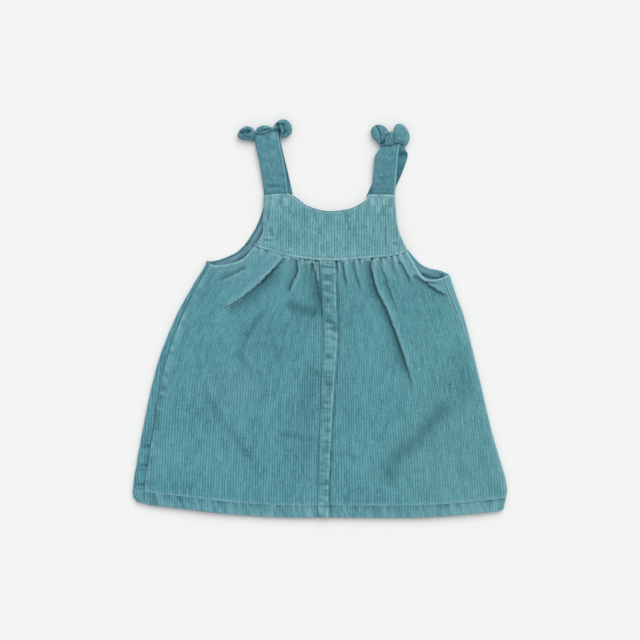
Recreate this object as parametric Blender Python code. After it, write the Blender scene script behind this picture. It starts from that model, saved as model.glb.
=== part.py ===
"""A baby's corduroy pinafore dress, laid flat on its back with its front up.

Tables and sizes are in millimetres: x to the wearer's left, y up the dress from half its length, z up
from the surface it lies on. Each mesh is scaled to metres as it is made, and the whole dress is then
centred on its own box and set down on z = 0.
"""

from math import cos, radians, sin

import bmesh
import bpy
import numpy as np
from mathutils import Matrix, Vector

MM = 0.001
SEAM_GAP = 0.3

# Cloth thicknesses.
CORD = 1.4
HEM_CLOTH = 2.8
FACING = 0.9
STRAP = 2.0

# Heights above the surface, of a layer's underside (floor) or of its outer face (top).
BACK_FLOOR = 0.0
FACING_FLOOR = 1.7
YOKE_TOP = 5.5
YOKE_SEAM_TOP = 6.4
SKIRT_TOP = 6.2
ARMHOLE_TOP = 4.7
SIDE_SEAM_TOP = 5.0
RIGHT_EDGE_TOP = 3.2
EDGE_FALL = 6.0

FACING_INSET = 0.9
FACING_WIDTH = 7.5
HEM_DEPTH = 12.5
HEM_STEP = 1.2
BACK_HEM_INSET = 1.4
WRAP_RADIUS = (SIDE_SEAM_TOP - CORD) / 2
WRAP_LEAN = radians(14)
SKIRT_LENGTH = 245
GATHER_GAP = 0.5

# The felled seam at the centre front: how far its band stands up, how far the left panel stops short
# under it, and how far past it the right panel is down again. The last two are shares of the hems.
FELL_RISE = 1.7
TUCK_SHORT = 2.2
FELL_FOOT = 1.8
FELL_START = 0.933
FELL_START_RIGHT = 0.066

# Outlines. Each is a smooth curve through its few (x, y) points.
NECK_EDGE = [(-31, 125.5), (-24, 120.5), (-12, 112), (5, 107), (20, 107.3), (35, 111), (45, 117.5), (48.6, 124.2)]
LEFT_TAB = [(-55.6, 123.6), (-43, 124.8), (-31, 125.5)]
RIGHT_TAB = [(48.6, 124.2), (62, 124.3), (75.4, 123.6)]
YOKE_LEFT = [(-66, 72.8), (-60, 80.5), (-56.8, 88), (-57, 98), (-56, 112), (-55.6, 123.5)]
YOKE_RIGHT = [(87.6, 68), (81, 82), (77.5, 94), (76, 108), (75.4, 123.6)]
YOKE_SEAM = [(-66, 72.8), (-50, 68), (-30, 62.2), (10, 58), (50, 60.8), (75, 63.2), (87.6, 68)]
LEFT_ARMHOLE = [(-110.2, 55.5), (-102, 53.8), (-88, 55.8), (-76, 61), (-66.4, 72)]
RIGHT_ARMHOLE = [(88, 67), (96, 53), (104, 41.8), (112, 39.3), (121, 41), (129.5, 44.5)]
LEFT_OUTLINE = [(-183.4, -181.6), (-186.4, -169), (-177, -113), (-163, -49), (-145, -1), (-128, 31), (-113, 55)]
RIGHT_OUTLINE = [(184.4, -183), (186.4, -164), (172, -113), (157, -49), (145, -1), (135.6, 26), (129.8, 44)]
HEM_LEFT = [(-171.3, -185.2), (-140, -188.8), (-100, -193.5), (-60, -196.7), (-20, -198), (8.2, -197.6)]
HEM_RIGHT = [(-2.2, -197.6), (40, -198), (94, -198), (130, -196.2), (165, -193), (181.5, -190.6), (184.4, -183)]
FELL_LEFT = [(-2.2, -197.6), (-1.8, -161), (0.8, -81), (3.4, -21), (2, 19), (-1, 58.2)]
FELL_RIGHT = [(8.2, -197.6), (8.5, -161), (13, -81), (17, -21), (16, 19), (15, 58)]
BACK_LEFT_ARMHOLE = [(-110.4, 57.4), (-100, 59.2), (-85, 65.4), (-75, 73.6)]
BACK_RIGHT_ARMHOLE = [(87, 70.2), (100, 55.6), (110, 50.4), (120, 48.4), (129, 44.6)]
BACK_YOKE_SEAM = [(-75, 73.6), (-30, 67), (10, 65), (50, 66), (87, 70.2)]
BACK_YOKE_LEFT = [(-75, 73.6), (-66, 87), (-60, 99.5), (-56.6, 110), (-53.6, 124)]
BACK_YOKE_RIGHT = [(87, 70.2), (80, 84), (76, 98), (74.6, 110), (74.2, 122)]
BACK_LEFT_EDGE = BACK_LEFT_ARMHOLE + BACK_YOKE_LEFT[1:-1]
BACK_NECK_EDGE = [(-28.6, 124.4), (-23, 121.2), (-12, 113), (5, 108.2), (20, 108.4), (35, 112), (50.5, 121.8)]

# How far the left side seam lies in from the left edge, by the share of the side from hem to armhole.
SIDE_SEAM_INSET = [
    # share, inset
    (0.00, 12.0),
    (0.08, 11.0),
    (0.22, 10.5),
    (0.45, 8.0),
    (0.75, 5.2),
    (0.92, 3.6),
    (1.00, 2.7),
]

# The largest folds of the front skirt. A fold has a rounded ridge on the left of its path and a ditch
# on the right. Taper in and taper out are the shares of the path over which its two ends fade.
FOLDS = [
    # panel, rise, ditch, ridge width, ditch width, taper in, taper out, path
    ("left", 2.6, 1.7, 7.0, 6.0, 0.45, 0.05, [(-98, 9), (-80, 19), (-55, 39), (-35, 61.5)]),
    ("left", 1.3, 0.9, 5.0, 4.0, 0.10, 0.60, [(-71, 52), (-88, 43), (-104, 35)]),
    ("left", 0.8, 1.6, 5.0, 3.5, 0.05, 0.60, [(-22, 60), (-23, 44), (-31, 24)]),
    ("left", 0.9, 1.9, 6.0, 6.0, 0.05, 0.50, [(-6, 55), (-4, 34), (1, 10), (3, -6)]),
    ("left", 0.9, 0.9, 9.0, 7.0, 0.40, 0.60, [(-35, 19), (-20, 8), (-5, -1)]),
    ("left", 1.1, 0.9, 9.0, 8.0, 0.40, 0.50, [(-79, -36), (-66, -56), (-58, -76)]),
    ("left", 0.9, 0.8, 9.0, 9.0, 0.40, 0.50, [(-78, -126), (-66, -140), (-50, -150)]),
    ("right", 2.2, 1.6, 6.0, 5.5, 0.05, 0.45, [(50, 59), (54, 42), (68, 11), (83, -29), (94, -64)]),
    ("right", 1.2, 1.0, 5.0, 4.0, 0.05, 0.60, [(58, 59), (63, 46), (74, 16), (84, -8)]),
    ("right", 0.9, 1.1, 5.0, 4.0, 0.05, 0.60, [(25, 57), (27, 42), (34, 24)]),
    ("right", 1.2, 1.0, 5.0, 4.0, 0.05, 0.60, [(80, 58), (87, 46), (94, 30)]),
    ("right", 1.2, 1.0, 5.0, 4.5, 0.30, 0.60, [(101, 37), (112, 31), (127, 22)]),
    ("right", 1.3, 1.3, 14.0, 11.0, 0.40, 0.40, [(140, -76), (98, -118), (75, -136), (63, -160)]),
]

# Straps, as sections across them from the front yoke over the shoulder to the back yoke. The two rows
# marked fold are the ends of the half turn at the shoulder.
LEFT_STRAP = [
    # right edge x, y, left edge x, y, height of the middle, fold
    (-31.8, 119.5, -54.6, 118.6, 2.75, False),
    (-31.8, 126.6, -55.4, 125.2, 2.75, False),
    (-32.6, 137.0, -56.8, 136.0, 3.9, False),
    (-35.4, 156.0, -59.8, 155.5, 4.9, False),
    (-39.2, 173.0, -63.4, 171.5, 4.6, False),
    (-41.2, 186.4, -64.9, 181.6, 4.0, True),
    (-40.9, 186.0, -64.6, 181.2, 1.0, True),
    (-37.6, 171.0, -61.8, 169.0, 1.0, False),
    (-32.6, 150.0, -56.8, 149.0, 1.0, False),
    (-27.0, 125.2, -51.6, 124.8, 1.0, False),
]
RIGHT_STRAP = [
    (74.6, 118.6, 51.6, 119.4, 2.75, False),
    (75.0, 125.0, 51.4, 125.6, 2.75, False),
    (76.2, 136.0, 52.6, 136.0, 3.9, False),
    (77.6, 153.0, 54.2, 153.0, 4.9, False),
    (78.4, 164.0, 55.4, 163.0, 4.8, False),
    (79.9, 173.2, 60.4, 170.2, 4.2, True),
    (85.0, 170.2, 64.0, 170.0, 1.0, True),
    (87.9, 163.6, 65.0, 164.0, 1.0, False),
    (83.4, 149.0, 61.0, 150.0, 1.0, False),
    (77.0, 134.0, 52.4, 135.0, 1.0, False),
    (71.6, 122.9, 47.0, 123.4, 1.0, False),
]

# The loops and knots of the two shoulder bows, each a rounded pad: its name, its top, and its plan.
PAD_FLOOR = 0.5
BOW_PADS = [
    ("bow_left_outer", 8.6, [
        (-81.1, 184.0), (-78.8, 188.2), (-73.0, 191.4), (-67.6, 189.6), (-65.7, 186.0),
        (-65.5, 180.0), (-66.5, 177.6), (-71.0, 179.0), (-77.0, 179.6), (-80.6, 181.4),
    ]),
    ("bow_left_inner", 10.0, [
        (-44.6, 193.0), (-40.6, 197.0), (-35.0, 198.1), (-30.0, 194.6), (-28.3, 189.0), (-29.4, 185.1),
        (-33.9, 181.8), (-38.3, 181.6), (-39.7, 184.6), (-40.3, 188.2), (-44.4, 189.7),
    ]),
    ("bow_left_knot", 7.6, [
        (-64.8, 185.2), (-60.4, 190.2), (-55.0, 191.6), (-49.6, 190.9),
        (-46.2, 189.6), (-46.4, 187.9), (-53.3, 186.4), (-59.0, 185.2),
    ]),
    ("bow_right_inner", 8.6, [
        (51.5, 187.4), (54.2, 191.6), (58.9, 193.0), (63.9, 191.4), (67.4, 187.2), (67.8, 183.8),
        (65.6, 179.0), (64.2, 174.6), (61.6, 173.2), (57.8, 176.8), (53.4, 181.8),
    ]),
    ("bow_right_knot", 9.0, [
        (69.0, 184.9), (71.6, 185.6), (73.8, 184.4), (74.0, 180.0), (73.8, 175.2),
        (69.4, 174.3), (65.4, 174.2), (66.7, 178.8), (68.6, 182.6),
    ]),
    ("bow_right_outer", 8.6, [
        (74.7, 186.8), (75.2, 191.2), (78.2, 193.8), (82.8, 192.9), (86.7, 188.4), (88.9, 182.3),
        (87.8, 176.8), (85.2, 173.0), (82.6, 174.3), (79.6, 175.7), (75.2, 176.0), (74.5, 181.0),
    ]),
]


def smooth_path(points, count):
    """Count + 1 places evenly along a smooth curve through the points."""
    known = np.array(points, float)
    before = 2 * known[0] - known[1]
    after = 2 * known[-1] - known[-2]
    padded = np.vstack([before, known, after])
    share = np.linspace(0, 1, 24, endpoint=False)[:, None]
    spans = []
    for i in range(len(known) - 1):
        a, b, c, d = padded[i : i + 4]
        bend = (2 * a - 5 * b + 4 * c - d) * share**2 + (3 * b - a - 3 * c + d) * share**3
        spans.append(b + 0.5 * ((c - a) * share + bend))
    fine = np.vstack([*spans, known[-1:]])
    run = np.concatenate([[0], np.cumsum(np.linalg.norm(np.diff(fine, axis=0), axis=1))])
    places = np.linspace(0, run[-1], count + 1)
    return np.column_stack([np.interp(places, run, fine[:, k]) for k in range(fine.shape[1])])


def chain(*paths):
    """Paths joined end to end, each later one without its first point."""
    return np.vstack([paths[0], *[path[1:] for path in paths[1:]]])


def shares_along(path):
    """Each point's share of the path's length."""
    run = np.concatenate([[0], np.cumsum(np.linalg.norm(np.diff(path, axis=0), axis=1))])
    return run / run[-1]


def at_shares(points, shares):
    """The smooth curve through the points, read at the shares of its length."""
    fine = smooth_path(points, 200)
    along = np.linspace(0, 1, len(fine))
    return np.column_stack([np.interp(shares, along, fine[:, 0]), np.interp(shares, along, fine[:, 1])])


def patch(bottom, top, left, right, rows):
    """A grid of (x, y) filled in between four edges, its rows at the given shares from the bottom."""
    across = shares_along(top)[None, :, None]
    up = np.array(rows)[:, None, None]
    sides = (1 - across) * left[:, None, :] + across * right[:, None, :]
    ends = (1 - up) * bottom[None, :, :] + up * top[None, :, :]
    low = (1 - across) * bottom[0] + across * bottom[-1]
    high = (1 - across) * top[0] + across * top[-1]
    return sides + ends - (1 - up) * low - up * high


def distance_to(grid, path):
    """Each grid point's distance from a path."""
    starts = path[:-1]
    spans = path[1:] - starts
    offsets = grid[..., None, :] - starts
    share = np.clip((offsets * spans).sum(-1) / (spans**2).sum(-1), 0, 1)
    return np.linalg.norm(offsets - share[..., None] * spans, axis=-1).min(-1)


def fold_height(grid, rise, ditch, ridge_width, ditch_width, taper_in, taper_out, points):
    """What one fold adds to the height: a ridge on its left, a ditch on its right, tapered at its ends."""
    path = smooth_path(points, 40)
    starts = path[:-1]
    spans = path[1:] - starts
    offsets = grid[..., None, :] - starts
    share = np.clip((offsets * spans).sum(-1) / (spans**2).sum(-1), 0, 1)
    gaps = np.linalg.norm(offsets - share[..., None] * spans, axis=-1)
    nearest = gaps.argmin(-1)[..., None]
    gap = np.take_along_axis(gaps, nearest, -1)[..., 0]
    cross = spans[:, 0] * offsets[..., 1] - spans[:, 1] * offsets[..., 0]
    side = np.sign(np.take_along_axis(cross, nearest, -1)[..., 0])
    along = ((nearest[..., 0] + np.take_along_axis(share, nearest, -1)[..., 0])) / len(spans)
    taper = np.clip(along / taper_in, 0, 1) * np.clip((1 - along) / taper_out, 0, 1)
    taper = taper * taper * (3 - 2 * taper)
    across = gap * side
    ridge = rise * np.exp(-(((across - 0.35 * ridge_width) / ridge_width) ** 2))
    trough = ditch * np.exp(-(((across + 0.7 * ditch_width) / ditch_width) ** 2))
    return taper * (ridge - trough)


def skirt_top(grid, panel):
    """The outer face of the front skirt above the surface."""
    height = np.full(grid.shape[:2], SKIRT_TOP)
    armhole = smooth_path(LEFT_ARMHOLE if panel == "left" else RIGHT_ARMHOLE, 30)
    height -= (SKIRT_TOP - ARMHOLE_TOP) * np.exp(-distance_to(grid, armhole) / EDGE_FALL)
    for side, *fold in FOLDS:
        if side == panel:
            height += fold_height(grid, *fold)
    lowest = FACING_FLOOR + FACING + SEAM_GAP + CORD
    return np.maximum(height, lowest)


def grid_wall(tops, floors):
    """Vertices and faces of the wall between two grids of points, closed all round."""
    rows, columns = tops.shape[:2]
    vertices = np.vstack([tops.reshape(-1, 3), floors.reshape(-1, 3)])
    below = rows * columns
    faces = []
    for i in range(rows - 1):
        for j in range(columns - 1):
            a = i * columns + j
            b = a + 1
            c = b + columns
            d = a + columns
            faces.append((a, b, c, d))
            faces.append((below + d, below + c, below + b, below + a))
    bottom_edge = list(range(columns))
    right_edge = [i * columns + columns - 1 for i in range(rows)]
    top_edge = [(rows - 1) * columns + j for j in range(columns)][::-1]
    left_edge = [i * columns for i in range(rows)][::-1]
    for edge in (bottom_edge, right_edge, top_edge, left_edge):
        for a, b in zip(edge, edge[1:]):
            faces.append((below + a, below + b, b, a))
    return vertices, faces


def strip_wall(sections, thickness):
    """Vertices and faces of a strip of cloth through sections, each a pair of its edge points."""
    edges = np.array(sections, float)
    tangents = np.gradient(edges.mean(1), axis=0)
    normals = np.cross(tangents, edges[:, 1] - edges[:, 0])
    normals /= np.linalg.norm(normals, axis=1)[:, None]
    half = normals[:, None, :] * thickness / 2
    corners = np.stack(
        [edges[:, :1] - half, edges[:, 1:] - half, edges[:, 1:] + half, edges[:, :1] + half], axis=1
    ).reshape(-1, 3)
    last = 4 * (len(edges) - 1)
    faces = [(3, 2, 1, 0), (last, last + 1, last + 2, last + 3)]
    for here in range(0, last, 4):
        for k in range(4):
            next_corner = (k + 1) % 4
            faces.append((here + k, here + next_corner, here + 4 + next_corner, here + 4 + k))
    return corners, faces


def material(name, colour, roughness):
    """A cloth material of a named finish."""
    cloth = bpy.data.materials.get(name)
    if cloth:
        return cloth
    cloth = bpy.data.materials.new(name)
    cloth.use_nodes = True
    shader = cloth.node_tree.nodes["Principled BSDF"]
    shader.inputs["Base Color"].default_value = (*colour, 1)
    shader.inputs["Roughness"].default_value = roughness
    shader.inputs["Metallic"].default_value = 0.0
    return cloth


def corduroy():
    return material("corduroy", (0.092, 0.270, 0.312), 0.90)


def yoke_corduroy():
    return material("yoke_corduroy", (0.133, 0.330, 0.365), 0.90)


def twill():
    return material("twill", (0.100, 0.285, 0.330), 0.80)


def facing_twill():
    return material("facing_twill", (0.142, 0.315, 0.345), 0.80)


def add_piece(name, vertices, faces, cloth):
    """One closed sewn piece, in metres, its faces turned outwards."""
    mesh = bpy.data.meshes.new(name)
    mesh.from_pydata([tuple(vertex * MM) for vertex in np.asarray(vertices, float)], [], faces)
    work = bmesh.new()
    work.from_mesh(mesh)
    bmesh.ops.recalc_face_normals(work, faces=work.faces)
    if work.calc_volume(signed=True) < 0:
        bmesh.ops.reverse_faces(work, faces=work.faces)
    work.to_mesh(mesh)
    work.free()
    mesh.materials.append(cloth)
    mesh.shade_smooth()
    mesh.set_sharp_from_angle(angle=radians(50))
    piece = bpy.data.objects.new(name, mesh)
    bpy.context.scene.collection.objects.link(piece)
    return piece


def raised(grid, heights):
    """The (x, y) grid at the given heights."""
    return np.dstack([grid, np.broadcast_to(heights, grid.shape[:2])])


def panel_rows(side_length, count):
    """Shares from hem to top: the turned-up hem, then rows that crowd towards the gathers."""
    hem = [0, HEM_DEPTH / side_length, (HEM_DEPTH + HEM_STEP) / side_length]
    rest = np.linspace(0, 1, count)[1:]
    return np.array([*hem, *(hem[-1] + (1 - hem[-1]) * (1 - (1 - rest) ** 1.35))])


def hem_wall(rows):
    """The cloth's thickness at each row: doubled in the turned-up hem."""
    return np.array([HEM_CLOTH, HEM_CLOTH] + [CORD] * (len(rows) - 2))[:, None]


def side_seam(shares):
    """Plan of the left edge and of the seam that lies in from it, at shares from hem to armhole."""
    edge = at_shares(LEFT_OUTLINE, shares)
    table = np.array(SIDE_SEAM_INSET)
    inset = np.interp(shares, table[:, 0], table[:, 1])[:, None]
    inward = np.array([cos(WRAP_LEAN), -sin(WRAP_LEAN)])
    return edge, edge + inset * inward, inward


def add_yoke_front():
    """The front bib, from its two strap tabs and the neck scoop down to the gathered seam."""
    top = chain(smooth_path(LEFT_TAB, 4), smooth_path(NECK_EDGE, 14), smooth_path(RIGHT_TAB, 4))
    rows = np.linspace(0, 1, 9)
    shares = (top[:, 0] - top[0, 0]) / (top[-1, 0] - top[0, 0])
    bottom = at_shares(YOKE_SEAM, shares)
    grid = patch(bottom, top, at_shares(YOKE_LEFT, rows), at_shares(YOKE_RIGHT, rows), rows)
    seam_swell = np.exp(-(((1 - rows) - 1) ** 2) / 0.05)[:, None]
    heights = YOKE_TOP + (YOKE_SEAM_TOP - YOKE_TOP) * seam_swell
    add_piece("yoke_front", *grid_wall(raised(grid, heights), raised(grid, heights - CORD)), yoke_corduroy())


def add_yoke_back():
    """The back bib, flat on the surface under the front one."""
    tab = [(-53.6, 124), (-41, 124.4), (-28.6, 124.4)]
    other_tab = [(50.5, 121.8), (62, 122), (74.2, 122)]
    top = chain(smooth_path(tab, 3), smooth_path(BACK_NECK_EDGE, 10), smooth_path(other_tab, 3))
    rows = np.linspace(0, 1, 6)
    shares = (top[:, 0] - top[0, 0]) / (top[-1, 0] - top[0, 0])
    bottom = at_shares(BACK_YOKE_SEAM, shares)
    grid = patch(bottom, top, at_shares(BACK_YOKE_LEFT, rows), at_shares(BACK_YOKE_RIGHT, rows), rows)
    floor = raised(grid, BACK_FLOOR)
    add_piece("yoke_back", *grid_wall(floor + (0, 0, CORD), floor), yoke_corduroy())


def seam_between(start_x, end_x, count):
    """The gathered top edge of the front skirt, just under the yoke, between two places across it."""
    line = smooth_path(YOKE_SEAM, 200)
    across = np.linspace(start_x, end_x, count + 1)
    return np.column_stack([across, np.interp(across, line[:, 0], line[:, 1]) - GATHER_GAP])


def fell_columns(lines, offsets, top_line):
    """Columns of points down the felled seam, each a line of it moved sideways, cut off at the top."""
    columns = []
    for line, offset in zip(lines, offsets):
        column = line + (offset, 0)
        column[-1, 1] = np.interp(column[-1, 0], top_line[:, 0], top_line[:, 1])
        columns.append(column)
    return columns


def add_skirt_front_left():
    """The front panel on the left of the layout, from the side seam to under the felled seam."""
    rows = panel_rows(SKIRT_LENGTH, 20)
    seam_top = seam_between(YOKE_SEAM[0][0] + 0.4, 16, 60)
    fell_left = at_shares(FELL_LEFT, rows)
    fell_right = at_shares(FELL_RIGHT, rows)
    beside, under, tucked = fell_columns(
        (fell_left, fell_left, fell_right), (-1.6, 1.0, -TUCK_SHORT), seam_top
    )
    top = chain(smooth_path(LEFT_ARMHOLE, 7), seam_between(YOKE_SEAM[0][0] + 0.4, beside[-1, 0], 15))
    beside[-1] = top[-1]
    bottom = at_shares(HEM_LEFT, shares_along(top) * FELL_START)
    _, seam_line, inward = side_seam(rows)
    left = seam_line + 2 * SEAM_GAP * inward
    left[0] = bottom[0]
    left[-1] = top[0]
    bottom[-1] = beside[0]
    grid = patch(bottom, top, left, beside, rows)
    heights = skirt_top(grid, "left")
    heights -= (heights - SIDE_SEAM_TOP) * np.exp(-distance_to(grid, left) / EDGE_FALL)
    under_top = np.full((len(rows), 2), SKIRT_TOP + FELL_RISE - CORD - 2 * SEAM_GAP)
    grid = np.concatenate([grid, np.stack([under, tucked], axis=1)], axis=1)
    heights = np.concatenate([heights, under_top], axis=1)
    wall = np.broadcast_to(hem_wall(rows), heights.shape).copy()
    wall[:, -2:] = CORD
    add_piece("skirt_front_left", *grid_wall(raised(grid, heights), raised(grid, heights - wall)), corduroy())


def add_skirt_front_right():
    """The front panel on the right of the layout, lying over the left one at the felled seam."""
    rows = panel_rows(SKIRT_LENGTH, 20)
    seam_top = seam_between(-4, YOKE_SEAM[-1][0] - 0.4, 60)
    fell_left = at_shares(FELL_LEFT, rows)
    fell_right = at_shares(FELL_RIGHT, rows)
    band = fell_columns((fell_left, (fell_left + fell_right) / 2, fell_right), (0, 0, 0), seam_top)
    foot = fell_columns((fell_right,), (FELL_FOOT,), seam_top)[0]
    top = chain(seam_between(foot[-1, 0], YOKE_SEAM[-1][0] - 0.4, 13), smooth_path(RIGHT_ARMHOLE, 9))
    foot[-1] = top[0]
    bottom = at_shares(HEM_RIGHT, FELL_START_RIGHT + shares_along(top) * (1 - FELL_START_RIGHT))
    bottom[0] = foot[0]
    right = at_shares(RIGHT_OUTLINE, rows)
    right[0] = bottom[-1]
    right[-1] = top[-1]
    grid = patch(bottom, top, foot, right, rows)
    heights = skirt_top(grid, "right")
    from_edge = distance_to(grid, right)
    heights -= (heights - RIGHT_EDGE_TOP) * np.exp(-from_edge / EDGE_FALL)
    wall = CORD + (HEM_CLOTH - CORD) * np.clip(from_edge / 10, 0, 1) * (hem_wall(rows) > CORD)
    grid = np.concatenate([np.stack(band, axis=1), grid], axis=1)
    heights = np.concatenate([np.full((len(rows), 3), SKIRT_TOP + FELL_RISE), heights], axis=1)
    wall = np.concatenate([np.full((len(rows), 3), CORD), wall], axis=1)
    add_piece("skirt_front_right", *grid_wall(raised(grid, heights), raised(grid, heights - wall)), corduroy())


def add_skirt_back():
    """The back panel: flat underneath, round the left edge and on to the front as far as the side seam."""
    rows = panel_rows(SKIRT_LENGTH, 13)
    edge, seam_line, inward = side_seam(rows)
    start = edge + (WRAP_RADIUS + CORD / 2) * inward
    top = chain(
        smooth_path(BACK_LEFT_ARMHOLE, 5), smooth_path(BACK_YOKE_SEAM, 10), smooth_path(BACK_RIGHT_ARMHOLE, 6)
    )
    top[:, 1] -= 1.5 * SEAM_GAP
    start[-1] = top[0]
    hem = [start[0], (-140, -188.8 + BACK_HEM_INSET), (-60, -196.7 + BACK_HEM_INSET), (20, -196.5), (120, -195.6)]
    bottom = at_shares([*hem, (176, -190), (181.6, -182)], shares_along(top))
    right = at_shares(RIGHT_OUTLINE, rows) - (0.8, 0)
    right[0] = bottom[-1]
    right[-1] = top[-1]
    grid = patch(bottom, top, start, right, rows)
    middle = np.full(grid.shape[:2], CORD / 2)
    flat = raised(grid, middle)
    wrap = []
    for turn in np.linspace(180, 0, 7)[:-1]:
        reach = sin(radians(turn)) * WRAP_RADIUS
        height = CORD / 2 + WRAP_RADIUS * (1 - cos(radians(turn)))
        wrap.append(np.column_stack([start - reach * inward, np.full(len(rows), height)]))
    over_seam = np.column_stack([seam_line, np.full(len(rows), CORD / 2 + 2 * WRAP_RADIUS)])
    over_seam[-1, :2] = start[-1] + 0.4 * inward
    sheet = np.concatenate([np.stack([over_seam, *wrap], axis=1), flat], axis=1)
    along = np.gradient(sheet, axis=0)
    across = np.gradient(sheet, axis=1)
    normals = np.cross(across, along)
    normals[:, len(wrap) + 1 :] = (0, 0, 1)
    normals /= np.linalg.norm(normals, axis=-1)[..., None]
    half = normals * CORD / 2
    add_piece("skirt_back", *grid_wall(sheet + half, sheet - half), corduroy())


def add_facing(name, points, start, end):
    """A band on the inside of the back, along a stretch of an armhole given by shares of its length."""
    line = at_shares(points, np.linspace(start, end, 13))
    tangents = np.gradient(line, axis=0)
    tangents /= np.linalg.norm(tangents, axis=1)[:, None]
    inward = np.column_stack([tangents[:, 1], -tangents[:, 0]])
    grid = np.stack([line + FACING_INSET * inward, line + FACING_WIDTH * inward], axis=0)
    floor = raised(grid, FACING_FLOOR)
    add_piece(name, *grid_wall(floor + (0, 0, FACING), floor), facing_twill())


def add_strap(name, table):
    """A strap from the front yoke over the shoulder to the back yoke."""
    sections = []
    turned = False
    for i, (right_x, right_y, left_x, left_y, height, fold) in enumerate(table):
        here = ((right_x, right_y, height), (left_x, left_y, height))
        if fold and turned:
            before = np.array(sections[-1])
            after = np.array(here)
            radius = (before[0, 2] - height) / 2
            for step in (30, 60, 90, 120, 150):
                share = (1 - cos(radians(step))) / 2
                turn = before + (after - before) * share
                turn[:, 1] += radius * sin(radians(step))
                sections.append(turn)
        turned = fold
        sections.append(np.array(here, float))
    add_piece(name, *strip_wall(sections, STRAP), twill())


def add_pad(name, top, points):
    """A rounded lump of gathered ribbon over a closed plan outline, level all round at its mid height."""
    outline = smooth_path([*points, points[0]], 24)[:-1]
    centre = outline.mean(0)
    middle = (PAD_FLOOR + top) / 2
    swell = (top - PAD_FLOOR) / 2
    rings = []
    for rise in np.linspace(-80, 80, 9):
        plan = centre + (outline - centre) * cos(radians(rise)) ** 0.7
        rings.append(raised(plan[None], middle + swell * sin(radians(rise)))[0])
    low = (*centre, PAD_FLOOR)
    high = (*centre, top)
    vertices = np.vstack([*rings, low, high])
    count = len(outline)
    last = len(rings) * count
    faces = []
    for k in range(count):
        after = (k + 1) % count
        faces.append((last, after, k))
        faces.append((last + 1, last - count + k, last - count + after))
        for i in range(0, last - count, count):
            faces.append((i + k, i + after, i + count + after, i + count + k))
    add_piece(name, vertices, faces, twill())


def set_down(pieces):
    """Move the whole dress so that its box is centred and rests on z = 0."""
    points = np.array([vertex.co for piece in pieces for vertex in piece.data.vertices])
    low = points.min(0)
    high = points.max(0)
    move = Vector((-(low[0] + high[0]) / 2, -(low[1] + high[1]) / 2, -low[2]))
    for piece in pieces:
        piece.data.transform(Matrix.Translation(move))


def main():
    for old in list(bpy.data.objects):
        bpy.data.objects.remove(old)
    add_yoke_front()
    add_yoke_back()
    add_skirt_front_left()
    add_skirt_front_right()
    add_skirt_back()
    add_facing("armhole_facing_left", BACK_LEFT_EDGE, 0.02, 0.98)
    add_facing("armhole_facing_right", BACK_RIGHT_ARMHOLE, 0.02, 0.80)
    add_strap("strap_left", LEFT_STRAP)
    add_strap("strap_right", RIGHT_STRAP)
    for name, top, plan in BOW_PADS:
        add_pad(name, top, plan)
    set_down([piece for piece in bpy.data.objects if piece.type == "MESH"])


main()
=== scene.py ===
import math

import bpy
import numpy as np
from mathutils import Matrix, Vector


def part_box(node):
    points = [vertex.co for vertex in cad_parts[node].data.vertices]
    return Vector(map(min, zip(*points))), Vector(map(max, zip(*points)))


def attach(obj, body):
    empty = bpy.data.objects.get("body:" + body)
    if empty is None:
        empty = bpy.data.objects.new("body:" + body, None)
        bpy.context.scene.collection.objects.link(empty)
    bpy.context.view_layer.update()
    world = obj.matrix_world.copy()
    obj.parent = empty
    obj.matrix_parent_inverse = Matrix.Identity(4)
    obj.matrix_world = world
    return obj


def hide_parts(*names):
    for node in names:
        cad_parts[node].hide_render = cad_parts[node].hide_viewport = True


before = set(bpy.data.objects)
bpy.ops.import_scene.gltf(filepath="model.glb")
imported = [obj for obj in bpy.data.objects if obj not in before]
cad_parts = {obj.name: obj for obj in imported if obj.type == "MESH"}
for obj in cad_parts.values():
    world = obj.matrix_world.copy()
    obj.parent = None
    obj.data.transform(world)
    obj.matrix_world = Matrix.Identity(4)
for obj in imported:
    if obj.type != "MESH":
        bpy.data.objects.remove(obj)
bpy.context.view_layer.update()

# Tables and sizes are in millimetres, as a maker would measure the dress: x to the wearer's left, y up the
# dress, z up from the table. makePiece turns them into metres, and layOff lays them where the frame's
# solids lie.

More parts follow.
